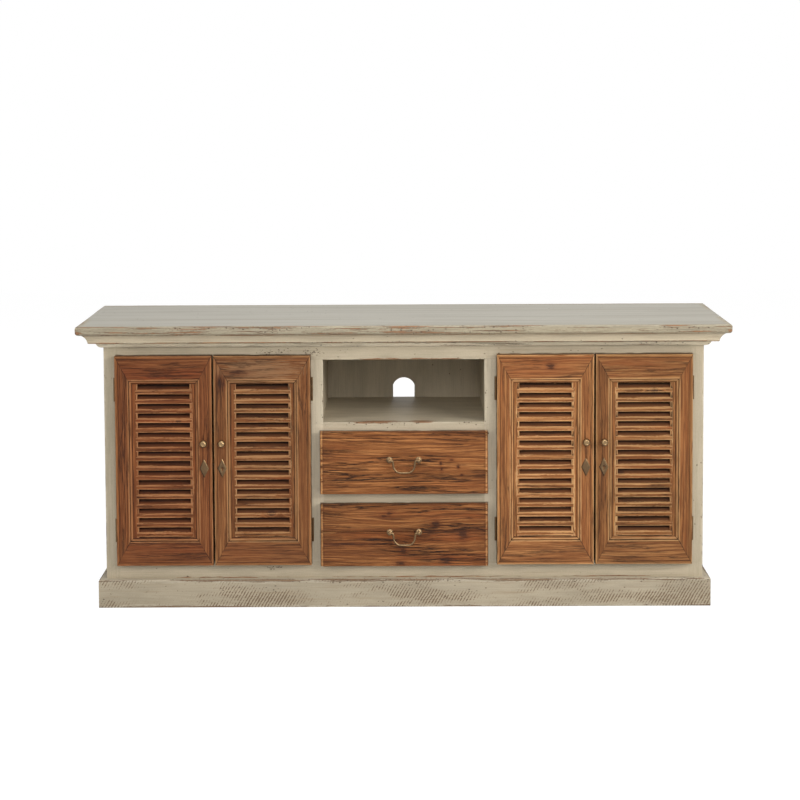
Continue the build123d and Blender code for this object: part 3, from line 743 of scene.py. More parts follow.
# the dark lines in the grooves are dirt and painted shade
# lines along a door's stiles and rails: the edge they follow, distance from it, half width, amount, shade
frameLines = (
    ("fromOuter", 0.0, 0.0044, 0.85, "worn"),
    ("fromOuter", 0.0060, 0.0026, 0.35, "light"),
    ("fromOuter", 0.0088, 0.0016, 0.55, "dark"),
    ("fromInner", 0.0118, 0.0024, 0.75, "worn"),
    ("fromInner", 0.0092, 0.0018, 0.8, "crack"),
    ("fromInner", 0.0058, 0.0028, 0.7, "worn"),
    ("fromInner", 0.0, 0.0024, 0.75, "crack"),
)
# painted shade falls from the first depth to the second, behind the slats' front edges and down a door's
# sides
slatShadow = (("dark", -0.1766, -0.173), ("crack", -0.172, -0.165))
doorSide = (-0.181, -0.178)


def pineMaterial(name, look):
    material, tree = newMaterial(name)
    strength = [look["tone"] * part for part in look["warmth"]]
    shades = {key: [c * part for c, part in zip(look[key], strength)] for key in woodShades}
    grain, fibre, wear = surfaceOf(tree, look)
    board = parts(reading(tree, "tint"))
    lines = look["lines"]
    darkest, middle, pale, palest = look["toneSteps"]
    marks = [(fibre[kind.capitalize()], look[kind]) for kind in ("broad", "lines", "fibre")]
    tone = weigh(*marks, (board["X"], look["ownTone"]))
    layers = [
        ("middle", ramp(tone, darkest, lines + middle)),
        ("light", ramp(tone, lines + pale, lines + palest)),
        ("red", noise(grain, "stain"), times(board["Y"], look["redBoards"])),
        ("dark", fibre["Weather"], look["weather"]),
        ("dark", fibre["Late"], times(noise(grain, "ringPatch"), look["rings"])),
    ]
    for shade in ("grey", "red"):
        places = look[shade + "Places"]
        if places:
            layers.append((shade, spotsAt(grain, places, look["stainRagged"]), look[shade + "Depth"]))
    # painted shadow deepens behind each slat's front edge, darkest under the slat above
    if look["recess"]:
        depth = parts(objectPlace(tree))["Y"]
        layers += [(shade, ramp(depth, start, full), look["recess"]) for shade, start, full in slatShadow]
    knots = fibre["Knot"]
    if look["knotPlaces"]:
        spots = partial(spotsAt, grain, look["knotPlaces"], look["knotRagged"])
        layers.append(("halo", spots("Halo"), look["haloDepth"]))
        knots = larger(knots, spots("Mask"))
    split = times(fibre["Crack"], look["cracks"])
    layers += [("knot", knots, look["knotDepth"]), ("crack", split)]
    rubbed = times(wear["Mask"], fade(fibre["Fibre"], "rubbedFibre"), look["rubbed"])
    if look["frameLines"]:
        layers += frameLayers(grain, look)
    if look["endStrip"]:
        endStrip, endShades = drawerEnds(grain, look)
        rubbed = larger(rubbed, endStrip)
        # dirt and painted shade darken the outer edge of a drawer front
        layers += [("dark", fade(wear["Near"], "drawerRim"), look["rim"]), *endShades]
    # dirt and painted shade darken the pine along its concave creases
    layers += [("worn", rubbed), ("crack", fade(reading(tree, "arris", "Alpha"), "grime"), look["grime"])]
    dents = larger(split, times(knots, look["knotDent"]))
    height = minus(weigh((fibre["Fibre"], look["fibre"]), (fibre["Lines"], lines)), dents)
    roughness = minus(look["roughness"], times(fibre["Lines"], look["waxed"]))
    colour = cover(shades["dark"], shades, layers)
    closeMaterial(colour, roughness, height, look["relief"], look["gloss"])
    return material


def frameLayers(grain, look):
    # mouldings rubbed pale, dirt and painted shade in their grooves, open mitres and painted shade down the
    # sides
    tree = grain.id_data
    layers = []
    for start, middle, half, amount, shade in look["frameLines"]:
        away = distanceTo(minus(reading(tree, start, "Fac"), middle))
        line = ramp(away, half, half * look["lineCore"])
        layers.append((shade, line, times(noise(grain, "lineBreaks"), amount)))
    mitre = fade(reading(tree, "joint", "Fac"), "joint")
    outer = fade(reading(tree, "fromOuter", "Fac"), "doorSide")
    side = ramp(parts(objectPlace(tree))["Y"], *doorSide)
    return layers + [
        ("crack", mitre, times(noise(grain, "jointBreaks"), look["mitre"])),
        # painted shade down the door's side faces
        ("crack", outer, side, look["sideShade"]),
    ]


def drawerEnds(grain, look):
    # a drawer front darkens to its ends and has a pale rubbed strip there
    width = look["endStrip"]
    core = width * look["stripCore"]
    near, far = (width * part for part in look["innerSpan"])
    ends = reading(grain.id_data, "ends", "Fac")
    dots = noise(grain, "endDots")
    strip = times(ramp(ends, width, core), fade(dots, "stripDots"), fade(ends, "stripOff"))
    inner = times(ramp(ends, near, width), ramp(ends, far, width), fade(dots, "innerDots"))
    dusk = times(noise(grain, "endStreaks"), look["endShade"])
    pale = times(strip, look["stripDepth"])
    return pale, [("dark", fade(ends, "drawerEnd"), dusk), ("dark", inner, look["innerDepth"])]


# Hardware: darkened brass, brighter where hands rub it and, as painted light, on the sides that face the
# lamps
brassLook = {
    "bright": (0.315, 0.205, 0.10), "dull": (0.135, 0.081, 0.040), "dark": (0.045, 0.028, 0.016),
    "cloud": 0.6, "handled": 0.75, "evenPolish": 0.6, "tarnishDull": 0.35,
    "roughness": 0.32, "metal": 0.85, "relief": 0.00012,
}


def brassMaterial(name, look):
    material, tree = newMaterial(name)
    place = objectPlace(tree)
    speck = noise(place, "brassSpeck")
    cloud, handled = noise(place, "brassCloud"), parts(reading(tree, "tint"))["X"]
    polish = weigh((cloud, look["cloud"]), (handled, look["handled"]))
    layers = [("dull", fade(polish, "tarnish")), ("bright", fade(polish, "shine"))]
    layers.append(("dark", fade(speck, "specks")))
    roughness = plus(look["roughness"], times(minus(look["evenPolish"], polish), look["tarnishDull"]))
    closeMaterial(cover(look["dark"], look, layers), roughness, speck, look["relief"], metal=look["metal"])
    return material


catchLook = {
    "brown": (0.11, 0.065, 0.04), "lighter": (0.15, 0.09, 0.055), "roughness": 0.5, "relief": 0.00008,
}


def plasticMaterial(name, look):
    material, tree = newMaterial(name)
    texture = noise(objectPlace(tree), "plasticGrain")
    colour = cover(look["brown"], look, [("lighter", texture)])
    closeMaterial(colour, look["roughness"], texture, look["relief"])
    return material


def pieceName(node):
    first, *rest = node.split("_")
    return first + "".join(word.capitalize() for word in rest)


frameMembers = ("left_stile", "right_stile", "top_rail", "bottom_rail")
closingBoxes = (
    *(frontBox(*(f"{door}_{member}" for member in frameMembers)) for door in ("door_3", "door_4")),
    frontBox("lower_drawer_front"),
    frontBox("upper_drawer_front"),
)
paints = {
    "case": ("distressedCasePaint", casePaint),
    "top": ("distressedTopPaint", topPaint),
    "stile": ("distressedStilePaint", stileLitPaint),
    "cove": ("distressedCovePaint", coveLitPaint),
    "bed": ("distressedBedPaint", bedLitPaint),
    "plinth": ("sawnPlinthPaint", plinthPaint),
    "inside": ("nichePaint", insidePaint),
}
finishes = {key: paintMaterial(*paint) for key, paint in paints.items()}
finishes["plain"] = pineMaterial("plainPine", plainPine)
finishes["brass"] = brassMaterial("antiqueBrass", brassLook)
finishes["plastic"] = plasticMaterial("catchPlastic", catchLook)
for drawer, look in drawerFinishes.items():
    finishes[drawer] = pineMaterial(pieceName(drawer) + "Pine", look)
for door, look in doorFinishes.items():
    # strips and slats are painted lighter than their frame, with wide pale edges: wear, and a painted
    # highlight on their noses and notches
    rubbedAndLitEdges = dict(look, wearReach=0.0024, wearCover=0.85)
    doorParts = {
        "strips": ("StripPine", dict(rubbedAndLitEdges, tone=look["tone"] * 1.1, worn=(0.64, 0.34, 0.145))),
        "frame": ("FramePine", dict(look, frameLines=frameLines, sideShade=0.8)),
        "slats": ("SlatPine", dict(rubbedAndLitEdges, tone=look["tone"] * 1.06, ring=0.006, recess=0.92)),
    }
    for part, (name, partLook) in doorParts.items():
        finishes[f"{door}_{part}"] = pineMaterial(pieceName(door) + name, partLook)
print("finishes ready:", len(finishes))


# Boards: each solid of a node is copied, merged and given worn arrises
sharpBend = math.radians(24)
wornBend = math.radians(12)
softBend = math.radians(1.2)
smoothBend = math.radians(50)
flatBend = math.radians(1)
shortestArris = 0.0025
shortestCut = 0.004
cutAlong = 0.94
grainAlong = 0.93
probeStep = 0.0008
probeMargin = 0.0002
seamMargin = 0.002
samePlace = 1e-5
sameEdge = 1e-4
leastLength = 1e-9
grainShift = 4
knotSizes = (0.005, 0.009)
noKnot = 0.001
layerKeys = {"FLOAT": "value", "FLOAT_VECTOR": "vector", "FLOAT_COLOR": "color"}


def setMode(mode):
    bpy.ops.object.mode_set(mode=mode)


def focus(*objects):
    if bpy.context.object and bpy.context.object.mode != "OBJECT":
        setMode("OBJECT")
    bpy.ops.object.select_all(action="DESELECT")
    for thing in objects:
        thing.select_set(True)
    bpy.context.view_layer.objects.active = objects[0]


def openAll():
    setMode("EDIT")
    bpy.ops.mesh.select_all(action="SELECT")


def openWith(mesh, kind, wanted):
    # opens a mesh with some of its edges or faces selected
    for group in (mesh.vertices, mesh.edges, mesh.polygons):
        group.foreach_set("select", [False] * len(group))
    getattr(mesh, kind).foreach_set("select", wanted)
    bpy.context.tool_settings.mesh_select_mode = (False, kind == "edges", kind == "polygons")
    setMode("EDIT")


def copySolids(node):
    # a solid's triangles follow each other, and it is whole once every edge has met its twin
    mesh = frame["nodes"][node].data
    keys = [tuple(round(c, 6) for c in vertex.co) for vertex in mesh.vertices]
    solids, faces, openEdges = [], [], set()
    for polygon in mesh.polygons:
        corners = [keys[i] for i in polygon.vertices]
        if len(set(corners)) < 3:
            continue
        faces.append(corners)
        for first, second in zip(corners, corners[1:] + corners[:1]):
            if (second, first) in openEdges:
                openEdges.remove((second, first))
            else:
                openEdges.add((first, second))
        if not openEdges:
            solids.append(solidObject(f"{pieceName(node)}{len(solids)}", faces))
            faces = []
    return solids


def solidObject(name, faces):
    order = {corner: i for i, corner in enumerate({corner: None for face in faces for corner in face})}
    mesh = bpy.data.meshes.new(name)
    mesh.from_pydata(list(order), [], [[order[c] for c in face] for face in faces])
    solid = bpy.data.objects.new(name, mesh)
    bpy.context.scene.collection.objects.link(solid)
    focus(solid)
    openAll()
    bpy.ops.mesh.dissolve_limited(angle_limit=flatBend)
    setMode("OBJECT")
    return solid


def readAll(items, key, width=1, kind=np.float32):
    values = np.empty(len(items) * width, kind)
    items.foreach_get(key, values)
    return values.reshape(-1, width) if width > 1 else values


def placesOf(mesh):
    return readAll(mesh.vertices, "co", 3)


def cornersOf(solid):
    places = placesOf(solid.data)
    return places.min(0), places.max(0)


def boardAxes(solid):
    low, high = cornersOf(solid)
    return sorted(range(3), key=lambda axis: low[axis] - high[axis])


def edgeKinds(mesh, boxes):
    # the bend at every edge, whether it stands out, and whether a neighbour closes against it
    edgeOf = readAll(mesh.loops, "edge_index", 1, np.int32)
    sides = readAll(mesh.polygons, "loop_total", 1, np.int32)
    normals, centres = (readAll(mesh.polygons, key, 3) for key in ("normal", "center"))
    faceOf = np.repeat(np.arange(len(sides)), sides)[np.argsort(edgeOf, kind="stable")]
    counts = np.bincount(edgeOf, minlength=len(mesh.edges))
    starts = np.cumsum(counts) - counts
    first, second = (faceOf[np.minimum(starts + step, len(faceOf) - 1)] for step in (0, 1))
    bend = np.arccos(np.clip((normals[first] * normals[second]).sum(1), -1, 1))
    bend[counts != 2] = 0
    convex = ((centres[second] - centres[first]) * normals[first]).sum(1) < 0
    ends = placesOf(mesh).astype(float)[readAll(mesh.edges, "vertices", 2, np.int32)]
    closed = np.zeros(len(bend), bool)
    for step in (probeStep, -probeStep):
        probe = ends.mean(1) + step * (normals[second] - normals[first])
        for low, high in boxes:
            closed |= ((probe > low + probeMargin) & (probe < high - probeMargin)).all(1)
    return bend, convex, closed, ends[:, 1] - ends[:, 0]


def seamEdges(mesh, look, along, place):
    spots = placesOf(mesh)
    face = spots[:, look["seamFace"]]
    level = face.max() if look["seamFace"] == 2 else face.min()
    onSeam = (abs(spots[:, look["seamAxis"]] - place) < samePlace) & (abs(face - level) < samePlace)
    onSeam &= spots[:, along] < look["seamEnd"]
    return [bool(onSeam[edge.vertices[0]] and onSeam[edge.vertices[1]]) for edge in mesh.edges]


def cutSeams(mesh, look, along):
    # a plank joint is a small V let into one face
    for place in look["seams"]:
        at, normal, sink = [0, 0, 0], [0, 0, 0], [0, 0, 0]
        at[look["seamAxis"]], normal[look["seamAxis"]] = place, 1
        sink[look["seamFace"]] = -look["seamDepth"] if look["seamFace"] == 2 else look["seamDepth"]
        openAll()
        bpy.ops.mesh.bisect(plane_co=at, plane_no=normal)
        setMode("OBJECT")
        openWith(mesh, "edges", seamEdges(mesh, look, along, place))
        bpy.ops.mesh.bevel(offset=look["seamWidth"] / 2, segments=2, affect="EDGES")
        setMode("OBJECT")
        openWith(mesh, "edges", seamEdges(mesh, look, along, place))
        bpy.ops.transform.translate(value=sink)
        setMode("OBJECT")


def shapeBoard(solid, look, boxes, seed):
    mesh = solid.data
    along = boardAxes(solid)[0]
    low, high = cornersOf(solid)
    focus(solid)
    cuts = round((high[along] - low[along]) / look["spacing"]) - 1
    if cuts > 0:
        run = edgeKinds(mesh, boxes)[3]
        length = np.linalg.norm(run, axis=1)
        lengthwise = abs(run[:, along]) > cutAlong * length
        openWith(mesh, "edges", ((length > shortestCut) & lengthwise).tolist())
        bpy.ops.mesh.subdivide(number_cuts=cuts)
        setMode("OBJECT")
    if look.get("seams"):
        cutSeams(mesh, look, along)
    bend, convex, closed, run = edgeKinds(mesh, boxes)
    longEnough = np.linalg.norm(run, axis=1) > shortestArris
    openWith(mesh, "edges", ((bend > sharpBend) & convex & ~closed & longEnough).tolist())
    bpy.ops.mesh.bevel(offset=look["arris"], segments=2, affect="EDGES", clamp_overlap=True)
    setMode("OBJECT")
    markBoard(solid, look, boxes, seed)
    roughen(solid, look["waver"], edgeKinds(mesh, boxes)[2])
    mesh.vertices.foreach_set("co", np.clip(placesOf(mesh), low, high).ravel())
    bpy.ops.object.shade_smooth_by_angle(angle=smoothBend)
    solid.modifiers.new("flats", "WEIGHTED_NORMAL").keep_sharp = True
    bpy.ops.object.modifier_apply(modifier="flats")


def roughen(solid, waver, closed):
    # the surface wavers, and stays where a neighbour closes against it
    held = {corner for edge, shut in zip(solid.data.edges, closed) if shut for corner in edge.vertices}
    loose = solid.vertex_groups.new(name="loose")
    loose.add([vertex.index for vertex in solid.data.vertices if vertex.index not in held], 1.0, "ADD")
    for size, depth in waver:
        cloud = bpy.data.textures.new("waver", "CLOUDS")
        cloud.noise_scale = size
        modifier = solid.modifiers.new("waver", "DISPLACE")
        modifier.texture = cloud
        modifier.texture_coords = "LOCAL"
        modifier.strength = depth
        modifier.mid_level = 0.5
        modifier.vertex_group = "loose"
        bpy.ops.object.modifier_apply(modifier="waver")
    solid.vertex_groups.clear()


def markBoard(solid, look, boxes, seed):
    # grain, knot, tint and distances ride in the mesh
    along, across, depth = boardAxes(solid)
    low, high = cornersOf(solid)
    dice = random.Random(seed)
    mesh = solid.data
    grain = placesOf(mesh)[:, (along, across, depth)]
    offset = [dice.uniform(-grainShift, grainShift) for _ in range(3)]
    tint = [dice.random() for _ in range(3)]
    if dice.random() < look.get("knotChance", 0):
        knot = [dice.uniform(low[axis], high[axis]) for axis in (along, across)]
        knot.append(dice.uniform(*knotSizes))
    else:
        knot = [low[along] - farAway, low[across] - farAway, noKnot]
    fromKnot = np.column_stack((grain[:, 0] - knot[0], grain[:, 1] - knot[1], np.full(len(grain), knot[2])))
    storeLayer(mesh, "grain", "FLOAT_VECTOR", grain + offset)
    storeLayer(mesh, "knot", "FLOAT_VECTOR", fromKnot)
    storeLayer(mesh, "tint", "FLOAT_VECTOR", np.tile(tint, (len(grain), 1)))
    storeLayer(mesh, "ends", "FLOAT", np.minimum(grain[:, 0] - low[along], high[along] - grain[:, 0]))
    for side in ("Outer", "Inner"):
        storeLayer(mesh, "from" + side, "FLOAT", abs(grain[:, 1] - look.get("edge" + side, farAway)))
    storeArris(mesh, along, look, boxes)


def storeLayer(mesh, name, kind, values, domain="POINT"):
    layer = mesh.attributes.new(name, kind, domain)
    layer.data.foreach_set(layerKeys[kind], np.asarray(values, np.float32).ravel())


def lineDistance(corners, start, line):
    return np.linalg.norm(np.cross(corners - start, line), axis=1)


def storeArris(mesh, along, look, boxes):
    # each corner keeps its distance to three worn edges of its face, to the nearest concave one, where dirt
    # and painted shade gather, and to a joint
    bend, convex, closed, run = edgeKinds(mesh, boxes)
    length = np.maximum(np.linalg.norm(run, axis=1), leastLength)
    line = run / length[:, None]
    sharp = bend > sharpBend
    worn = (bend > look.get("wornBend", wornBend)) & convex & ~closed
    if not look.get("wornEnds"):
        worn &= abs(run[:, along]) > grainAlong * length
    # concave edges, where dirt and painted shade gather
    creased = sharp & ~convex
    joint = sharp & convex & closed & (abs(run[:, along]) < grainAlong * length)
    spots = placesOf(mesh).astype(float)
    starts = spots[readAll(mesh.edges, "vertices", 2, np.int32)[:, 0]]
    for place in look.get("seams", ()):
        worn &= abs(starts[:, look["seamAxis"]] - place) > seamMargin
    cornerOf = readAll(mesh.loops, "vertex_index", 1, np.int32)
    edgeOf = readAll(mesh.loops, "edge_index", 1, np.int32)
    values = np.full((len(mesh.loops), 5), farAway, np.float32)
    for face in mesh.polygons:
        loops = slice(face.loop_start, face.loop_start + face.loop_total)
        edges = edgeOf[loops]
        corners = spots[cornerOf[loops]]
        channel = 0
        for edge in sorted(edges[worn[edges]], key=lambda edge: -length[edge]):
            away = lineDistance(corners, starts[edge], line[edge])
            told = any(np.allclose(values[loops, c], away, atol=samePlace) for c in range(channel))
            if channel < 3 and not told:
                values[loops, channel] = away
                channel += 1
        for column, kind in ((3, creased), (4, joint)):
            for edge in edges[kind[edges]]:
                away = lineDistance(corners, starts[edge], line[edge])
                values[loops, column] = np.minimum(values[loops, column], away)
    storeLayer(mesh, "arris", "FLOAT_COLOR", values[:, :4], "CORNER")
    storeLayer(mesh, "joint", "FLOAT", values[:, 4], "CORNER")


def finishPiece(name, pieces, node, finish):
    focus(*pieces)
    if len(pieces) > 1:
        bpy.ops.object.join()
    piece = bpy.context.object
    piece.name = name
    piece.data.materials.clear()
    piece.data.materials.append(finishes[finish])
    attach(piece, frame["nodes"][node]["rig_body"])
    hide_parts(node)


solids = {node: copySolids(node) for node in frame["nodes"]}
solidBoxes = {node: [cornersOf(solid) for solid in pieces] for node, pieces in solids.items()}
print("solids copied:", sum(len(pieces) for pieces in solids.values()))


def dressNode(node, finish, look, family):
    boxes = [box for member in family for box in solidBoxes[member]]
    for number, board in enumerate(solids[node]):
        own = solidBoxes[node][number]
        others = [box for box in boxes if not np.allclose(box, own, atol=samePlace)]
        shapeBoard(board, look, others, f"{node} {number}")
    finishPiece(pieceName(node), solids[node], node, finish)


topLook = {
    "wornBend": softBend, "arris": 0.0012, "spacing": 0.010, "waver": ((0.045, 0.0010), (0.010, 0.0008)),
    "wornEnds": True, "seams": (0.082, -0.068), "seamAxis": 1, "seamFace": 2, "seamDepth": 0.0005,
    "seamWidth": 0.0012, "seamEnd": 1.0,
}
mouldLook = {
    "wornBend": softBend, "arris": 0.0008, "spacing": 0.01, "waver": ((0.05, 0.0007), (0.011, 0.0005)),
}
plinthLook = dict(mouldLook, arris=0.0012, spacing=0.012, waver=((0.05, 0.0007), (0.012, 0.0004)))
frameLook = {"arris": 0.0011, "spacing": 0.012, "waver": ((0.05, 0.0004), (0.012, 0.0003))}
panelLook = {"arris": 0.0008, "spacing": 0.06, "waver": ((0.12, 0.0003),)}
hiddenLook = {"arris": 0.0008, "spacing": 0.08, "waver": ((0.12, 0.0003),), "knotChance": 0.5}
paintedNodes = {
    "top_board": ("top", topLook),
    "cornice_cove": ("cove", mouldLook),
    "cornice_bed_mould": ("bed", mouldLook),
    "plinth_front": ("plinth", plinthLook),
    "plinth_sides": ("plinth", plinthLook),
    "outer_stiles": ("case", frameLook),
    "inner_stiles": ("stile", frameLook),
    "frieze_rail": ("case", frameLook),
    "niche_rail": ("case", frameLook),
    "drawer_rail": ("case", frameLook),
    "bottom_rail": ("case", frameLook),
    "side_panel_left": ("case", panelLook),
    "side_panel_right": ("case", panelLook),
    "partition_left": ("inside", panelLook),
    "partition_right": ("inside", panelLook),
    "niche_shelf": ("inside", panelLook),
    "back_panels": ("inside", panelLook),
}
plainNodes = ("plinth_inner_rails", "bottom_board", "side_shelves", "shelf_cleats", "drawer_runners")
caseFamily = (*paintedNodes, *plainNodes)
for node, (finish, look) in paintedNodes.items():
    dressNode(node, finish, look, caseFamily)
for node in plainNodes:
    dressNode(node, "plain", hiddenLook, caseFamily)
print("case dressed")

doorLook = {"arris": 0.0009, "spacing": 0.012, "waver": ((0.04, 0.0004), (0.010, 0.0003))}
lipGroove = {"seamFace": 1, "seamDepth": 0.0008, "seamWidth": 0.0014, "seamEnd": farAway}
lipWidth = 0.0085
stripLook = {"arris": 0.0005, "spacing": 0.5, "waver": ((0.012, 0.0003),), "wornEnds": True}
slatLook = {"arris": 0.0008, "spacing": 0.012, "waver": ((0.05, 0.0004), (0.010, 0.0002)), "knotChance": 0.1}


def frameLookOf(member, members):
    # a fine groove sets off the outer lip of each stile and rail
    axis = 2 if "rail" in member else 0
    low, high = (float(corner[axis]) for corner in solidBoxes[member][0])
    lowest = min(solidBoxes[node][0][0][axis] for node in members)
    outerLow = abs(low - lowest) < sameEdge
    outer, inner = (low, high) if outerLow else (high, low)
    groove = outer + (lipWidth if outerLow else -lipWidth)
    return dict(doorLook, edgeOuter=outer, edgeInner=inner, seams=(groove,), seamAxis=axis, **lipGroove)


for door in doorFinishes:
    members = [f"{door}_{member}" for member in frameMembers]
    for member in members:
        dressNode(member, f"{door}_frame", frameLookOf(member, members), members)
    dressNode(f"{door}_louvre_strips", f"{door}_strips", stripLook, members)
    dressNode(f"{door}_slats", f"{door}_slats", slatLook, [f"{door}_louvre_strips"])
print("doors dressed")

drawerLook = {"arris": 0.0008, "spacing": 0.006, "waver": ((0.04, 0.0007), (0.010, 0.0004)), "wornEnds": True}
plankLook = dict(
    drawerLook, seams=(0.2131,), seamAxis=2, seamFace=1, seamDepth=0.0026, seamWidth=0.0034, seamEnd=0.03,
)
drawerLooks = {"lower_drawer": plankLook, "upper_drawer": drawerLook}
for drawer, look in drawerLooks.items():
    dressNode(f"{drawer}_front", drawer, look, ())
    dressNode(f"{drawer}_box", "plain", hiddenLook, [f"{drawer}_box"])
print("drawers dressed")


# Hardware: turned knobs and posts, bent bails, key plates with nails, hinge leaves with screws
# profiles are (height, radius) and bail sizes are in millimetres
knobLook = {
    "foot": ((0.0, 7.4), (0.3, 7.5), (1.3, 7.5), (1.6, 7.2), (1.9, 5.8), (2.7, 4.8), (4.4, 4.5), (5.3, 4.7)),
    "ballRadius": 11.0, "ballMiddle": 15.47, "firstLean": -62, "lastLean": 58, "steps": 14,
    "face": ((25.0, 5.5), (24.9, 4.9), (24.6, 4.2), (24.5, 2.0)),
    "sides": 40, "polish": 0.62, "spread": 0.3,
}
postLook = {
    "profile": (
        (0.0, 8.8), (0.3, 9.0), (1.0, 9.0), (1.4, 8.6), (1.6, 7.4), (1.9, 7.2), (2.3, 6.6), (2.8, 4.6),
        (3.4, 4.0), (8.3, 4.0), (8.9, 4.5), (9.9, 5.1), (11.2, 5.4), (13.0, 5.5), (14.8, 5.35), (16.2, 4.8),
        (17.1, 3.9), (17.6, 2.4),
    ),
    "sides": 32, "polish": 0.2, "spread": 0.5,
}
nailLook = {
    "profile": ((0.0, 1.35), (0.35, 1.3), (0.75, 0.95), (0.95, 0.4)),
    "sides": 12, "polish": 0.3, "fromMiddle": 0.0185,
}
screwLook = {
    "profile": ((0.0, 2.9), (0.12, 2.9), (0.3, 2.3), (0.36, 1.0)),
    "sides": 16, "polish": 0.2, "shares": (0.16, 0.5, 0.84),
}
bailLook = {
    "pinEnd": 39.5, "shoulder": 31.0, "bottom": 27.0, "drop": 33.5, "shoulderBend": 3.4, "cornerBend": 21.0,
    "rod": 2.7, "roundSteps": 4, "bendSteps": 9, "polish": 0.16, "spread": 0.55,
}
# the key plates' raised rim is painted bright on its upper right: a painted highlight
plateLook = {"arris": 0.0003, "rim": 0.0019, "rise": 0.0004, "polish": -0.97, "spread": 3.0}
hingeLook = {"arris": 0.0002, "polish": 0.15}
catchBlock = {"arris": 0.0008, "polish": 0.0}
headSink = 0.0001  # nails and screws start just under the face
frontNormal = -0.9
metalAngle = math.radians(40)
turnedAngle = math.radians(35)
rubbedAndLitSide = (0.45, -0.35, 0.82)


def polishTo(solid, look):
    # tarnish stays on the sides that hands and cloths miss, and the sides that face up, front and right
    # towards the lamps are painted brighter as painted light
    normals = np.array([vertex.normal for vertex in solid.data.vertices])
    shine = look["polish"] + look.get("spread", 0.0) * (normals @ np.array(rubbedAndLitSide))
    storeLayer(solid.data, "tint", "FLOAT_VECTOR", np.repeat(shine[:, None], 3, axis=1))
    return solid


def turnPiece(profile, look, place, lean=math.pi / 2):
    # a disc is drawn up step by step, then laid at its place
    bpy.ops.object.select_all(action="DESELECT")
    height, radius = profile[0]
    bpy.ops.mesh.primitive_circle_add(vertices=look["sides"], radius=radius / 1000, fill_type="NGON")
    piece = bpy.context.object
    openAll()
    for nextHeight, nextRadius in profile[1:]:
        rise, ratio = (nextHeight - height) / 1000, nextRadius / radius
        bpy.ops.mesh.extrude_region_move(TRANSFORM_OT_translate={"value": (0, 0, rise)})
        bpy.ops.transform.resize(value=(ratio, ratio, 1), center_override=(0, 0, 0))
        height, radius = nextHeight, nextRadius
    bpy.ops.mesh.select_all(action="DESELECT")
    bpy.context.tool_settings.mesh_select_mode = (False, True, False)
    bpy.ops.mesh.select_non_manifold()
    bpy.ops.mesh.edge_face_add()
    bpy.ops.mesh.select_all(action="SELECT")
    bpy.ops.mesh.normals_make_consistent(inside=False)
    setMode("OBJECT")
    piece.rotation_euler = (lean, 0, 0)
    piece.location = place
    bpy.ops.object.transform_apply(location=True, rotation=True, scale=True)
    bpy.ops.object.shade_smooth_by_angle(angle=turnedAngle)
    return polishTo(piece, look)


def easeMetal(solid, look):
    focus(solid)
    bend, convex, *_ = edgeKinds(solid.data, ())
    openWith(solid.data, "edges", ((bend > metalAngle) & convex).tolist())
    bpy.ops.mesh.bevel(offset=look["arris"], segments=2, affect="EDGES", clamp_overlap=True)
    setMode("OBJECT")
    bpy.ops.object.shade_smooth_by_angle(angle=metalAngle)
    return polishTo(solid, look)


def raiseMiddle(plate, look):
    # the face slopes up from a narrow rim
    focus(plate)
    openWith(plate.data, "polygons", [face.normal.y < frontNormal for face in plate.data.polygons])
    bpy.ops.mesh.inset(thickness=look["rim"], depth=0)
    bpy.ops.transform.translate(value=(0, -look["rise"], 0))
    setMode("OBJECT")
    return plate


def middleOf(box):
    return [(a + b) / 2 for a, b in zip(*box)]


def discard(solid):
    bpy.data.objects.remove(solid, do_unlink=True)


def ballSteps(look):
    turn = (look["lastLean"] - look["firstLean"]) / look["steps"]
    leans = [math.radians(look["firstLean"] + turn * step) for step in range(look["steps"] + 1)]
    radius = look["ballRadius"]
    return tuple((look["ballMiddle"] + radius * math.sin(lean), radius * math.cos(lean)) for lean in leans)


def fitDoorHardware(door):
    node = f"{door}_hardware"
    knobBox, plateBox, lowBox, highBox, _ = solidBoxes[node]
    knobCast, plate, *fixings = solids[node]
    x, _, z = middleOf(knobBox)
    profile = knobLook["foot"] + ballSteps(knobLook) + knobLook["face"]
    knob = turnPiece(profile, knobLook, (x, knobBox[1][1], z))
    discard(knobCast)
    finishPiece(pieceName(f"{door}_knob"), [knob], node, "brass")
    x, _, z = middleOf(plateBox)
    y, reach = plateBox[0][1] + headSink, nailLook["fromMiddle"]
    nails = [turnPiece(nailLook["profile"], nailLook, (x, y, z + side * reach)) for side in (-1, 1)]
    plate = easeMetal(raiseMiddle(plate, plateLook), plateLook)
    finishPiece(pieceName(f"{door}_key_plate"), [plate, *nails], node, "brass")
    leaves = [easeMetal(piece, hingeLook) for piece in fixings] + leafScrews(lowBox) + leafScrews(highBox)
    finishPiece(pieceName(f"{door}_hinge_leaves"), leaves, node, "brass")


def leafScrews(box):
    # three screw heads on the face of a door leaf that is seen when the door is open
    low, high = box
    x, y, height = (low[0] + high[0]) / 2, high[1] - headSink, high[2] - low[2]
    return [
        turnPiece(screwLook["profile"], screwLook, (x, y, low[2] + part * height), -math.pi / 2)
        for part in screwLook["shares"]
    ]


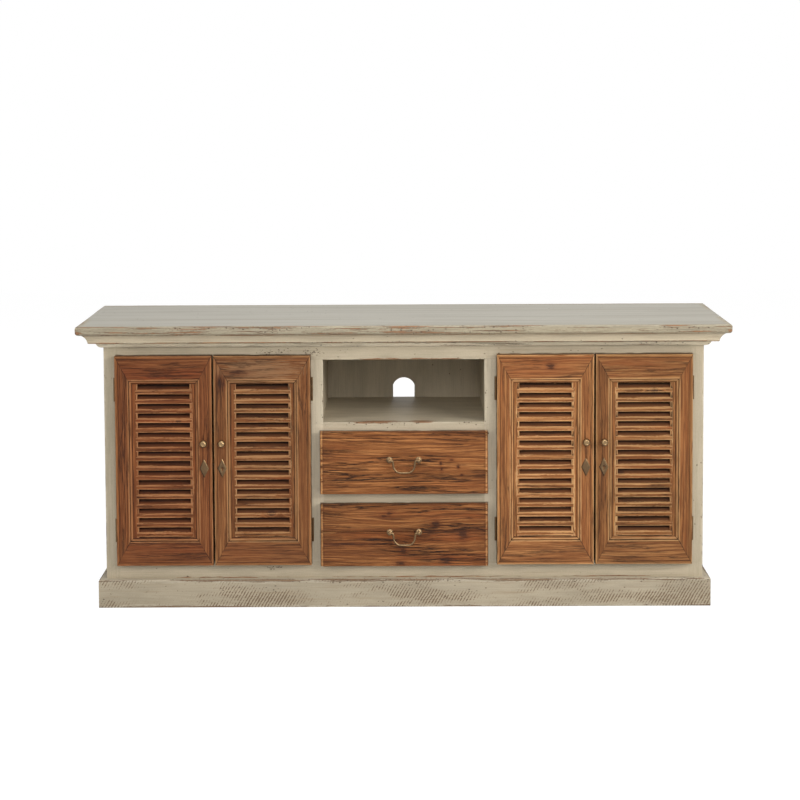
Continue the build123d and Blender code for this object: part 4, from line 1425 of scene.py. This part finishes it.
def bentRoute(points, bends, steps):
    # each inner corner is rounded to its own radius
    points = [Vector(point) for point in points]
    route = [points[0]]
    for before, corner, after, bend in zip(points, points[1:], points[2:], bends):
        into, out = (corner - before).normalized(), (after - corner).normalized()
        turn = into.angle(out)
        start = corner - into * (bend * math.tan(turn / 2))
        middle = start + (out - into * into.dot(out)).normalized() * bend
        for step in range(steps + 1):
            lean = turn * step / steps
            route.append(middle + (start - middle) * math.cos(lean) + into * bend * math.sin(lean))
    return route + [points[-1]]


def bendBail(drawer):
    node, look = f"{drawer}_bail", bailLook
    low, high = solidBoxes[node][0]
    pinY = (low[1] + high[1]) / 2
    pinZ = middleOf(solidBoxes[f"{drawer}_pull_posts"][0])[2]
    half = [(look["pinEnd"], 0), (look["shoulder"], 0), (look["bottom"], look["drop"])]
    points = [(-x, 0, -drop) for x, drop in half] + [(x, 0, -drop) for x, drop in reversed(half)]
    bends = (look["shoulderBend"], look["cornerBend"], look["cornerBend"], look["shoulderBend"])
    route = bentRoute(points, bends, look["bendSteps"])
    curve = bpy.data.curves.new(node, "CURVE")
    curve.dimensions = "3D"
    curve.bevel_depth = look["rod"] / 1000
    curve.bevel_resolution = look["roundSteps"]
    curve.use_fill_caps = True
    spline = curve.splines.new("POLY")
    spline.points.add(len(route) - 1)
    for spot, step in zip(spline.points, route):
        spot.co = (step.x / 1000, pinY, pinZ + step.z / 1000, 1)
    rod = bpy.data.objects.new(node + "_rod", curve)
    bpy.context.scene.collection.objects.link(rod)
    focus(rod)
    bpy.ops.object.convert(target="MESH")
    rod = bpy.context.object
    bpy.ops.object.shade_smooth_by_angle(angle=metalAngle)
    discard(solids[node][0])
    finishPiece(pieceName(node), [polishTo(rod, look)], node, "brass")


for door in doorFinishes:
    fitDoorHardware(door)
for drawer in drawerLooks:
    node = f"{drawer}_pull_posts"
    turned = []
    for box, cast in zip(solidBoxes[node], solids[node]):
        x, _, z = middleOf(box)
        turned.append(turnPiece(postLook["profile"], postLook, (x, box[1][1], z)))
        discard(cast)
    finishPiece(pieceName(node), turned, node, "brass")
    bendBail(drawer)
fixtures = {"hinge_frame_leaves": ("brass", hingeLook), "door_catches": ("plastic", catchBlock)}
for node, (finish, look) in fixtures.items():
    finishPiece(pieceName(node), [easeMetal(piece, look) for piece in solids[node]], node, finish)
print("hardware fitted")
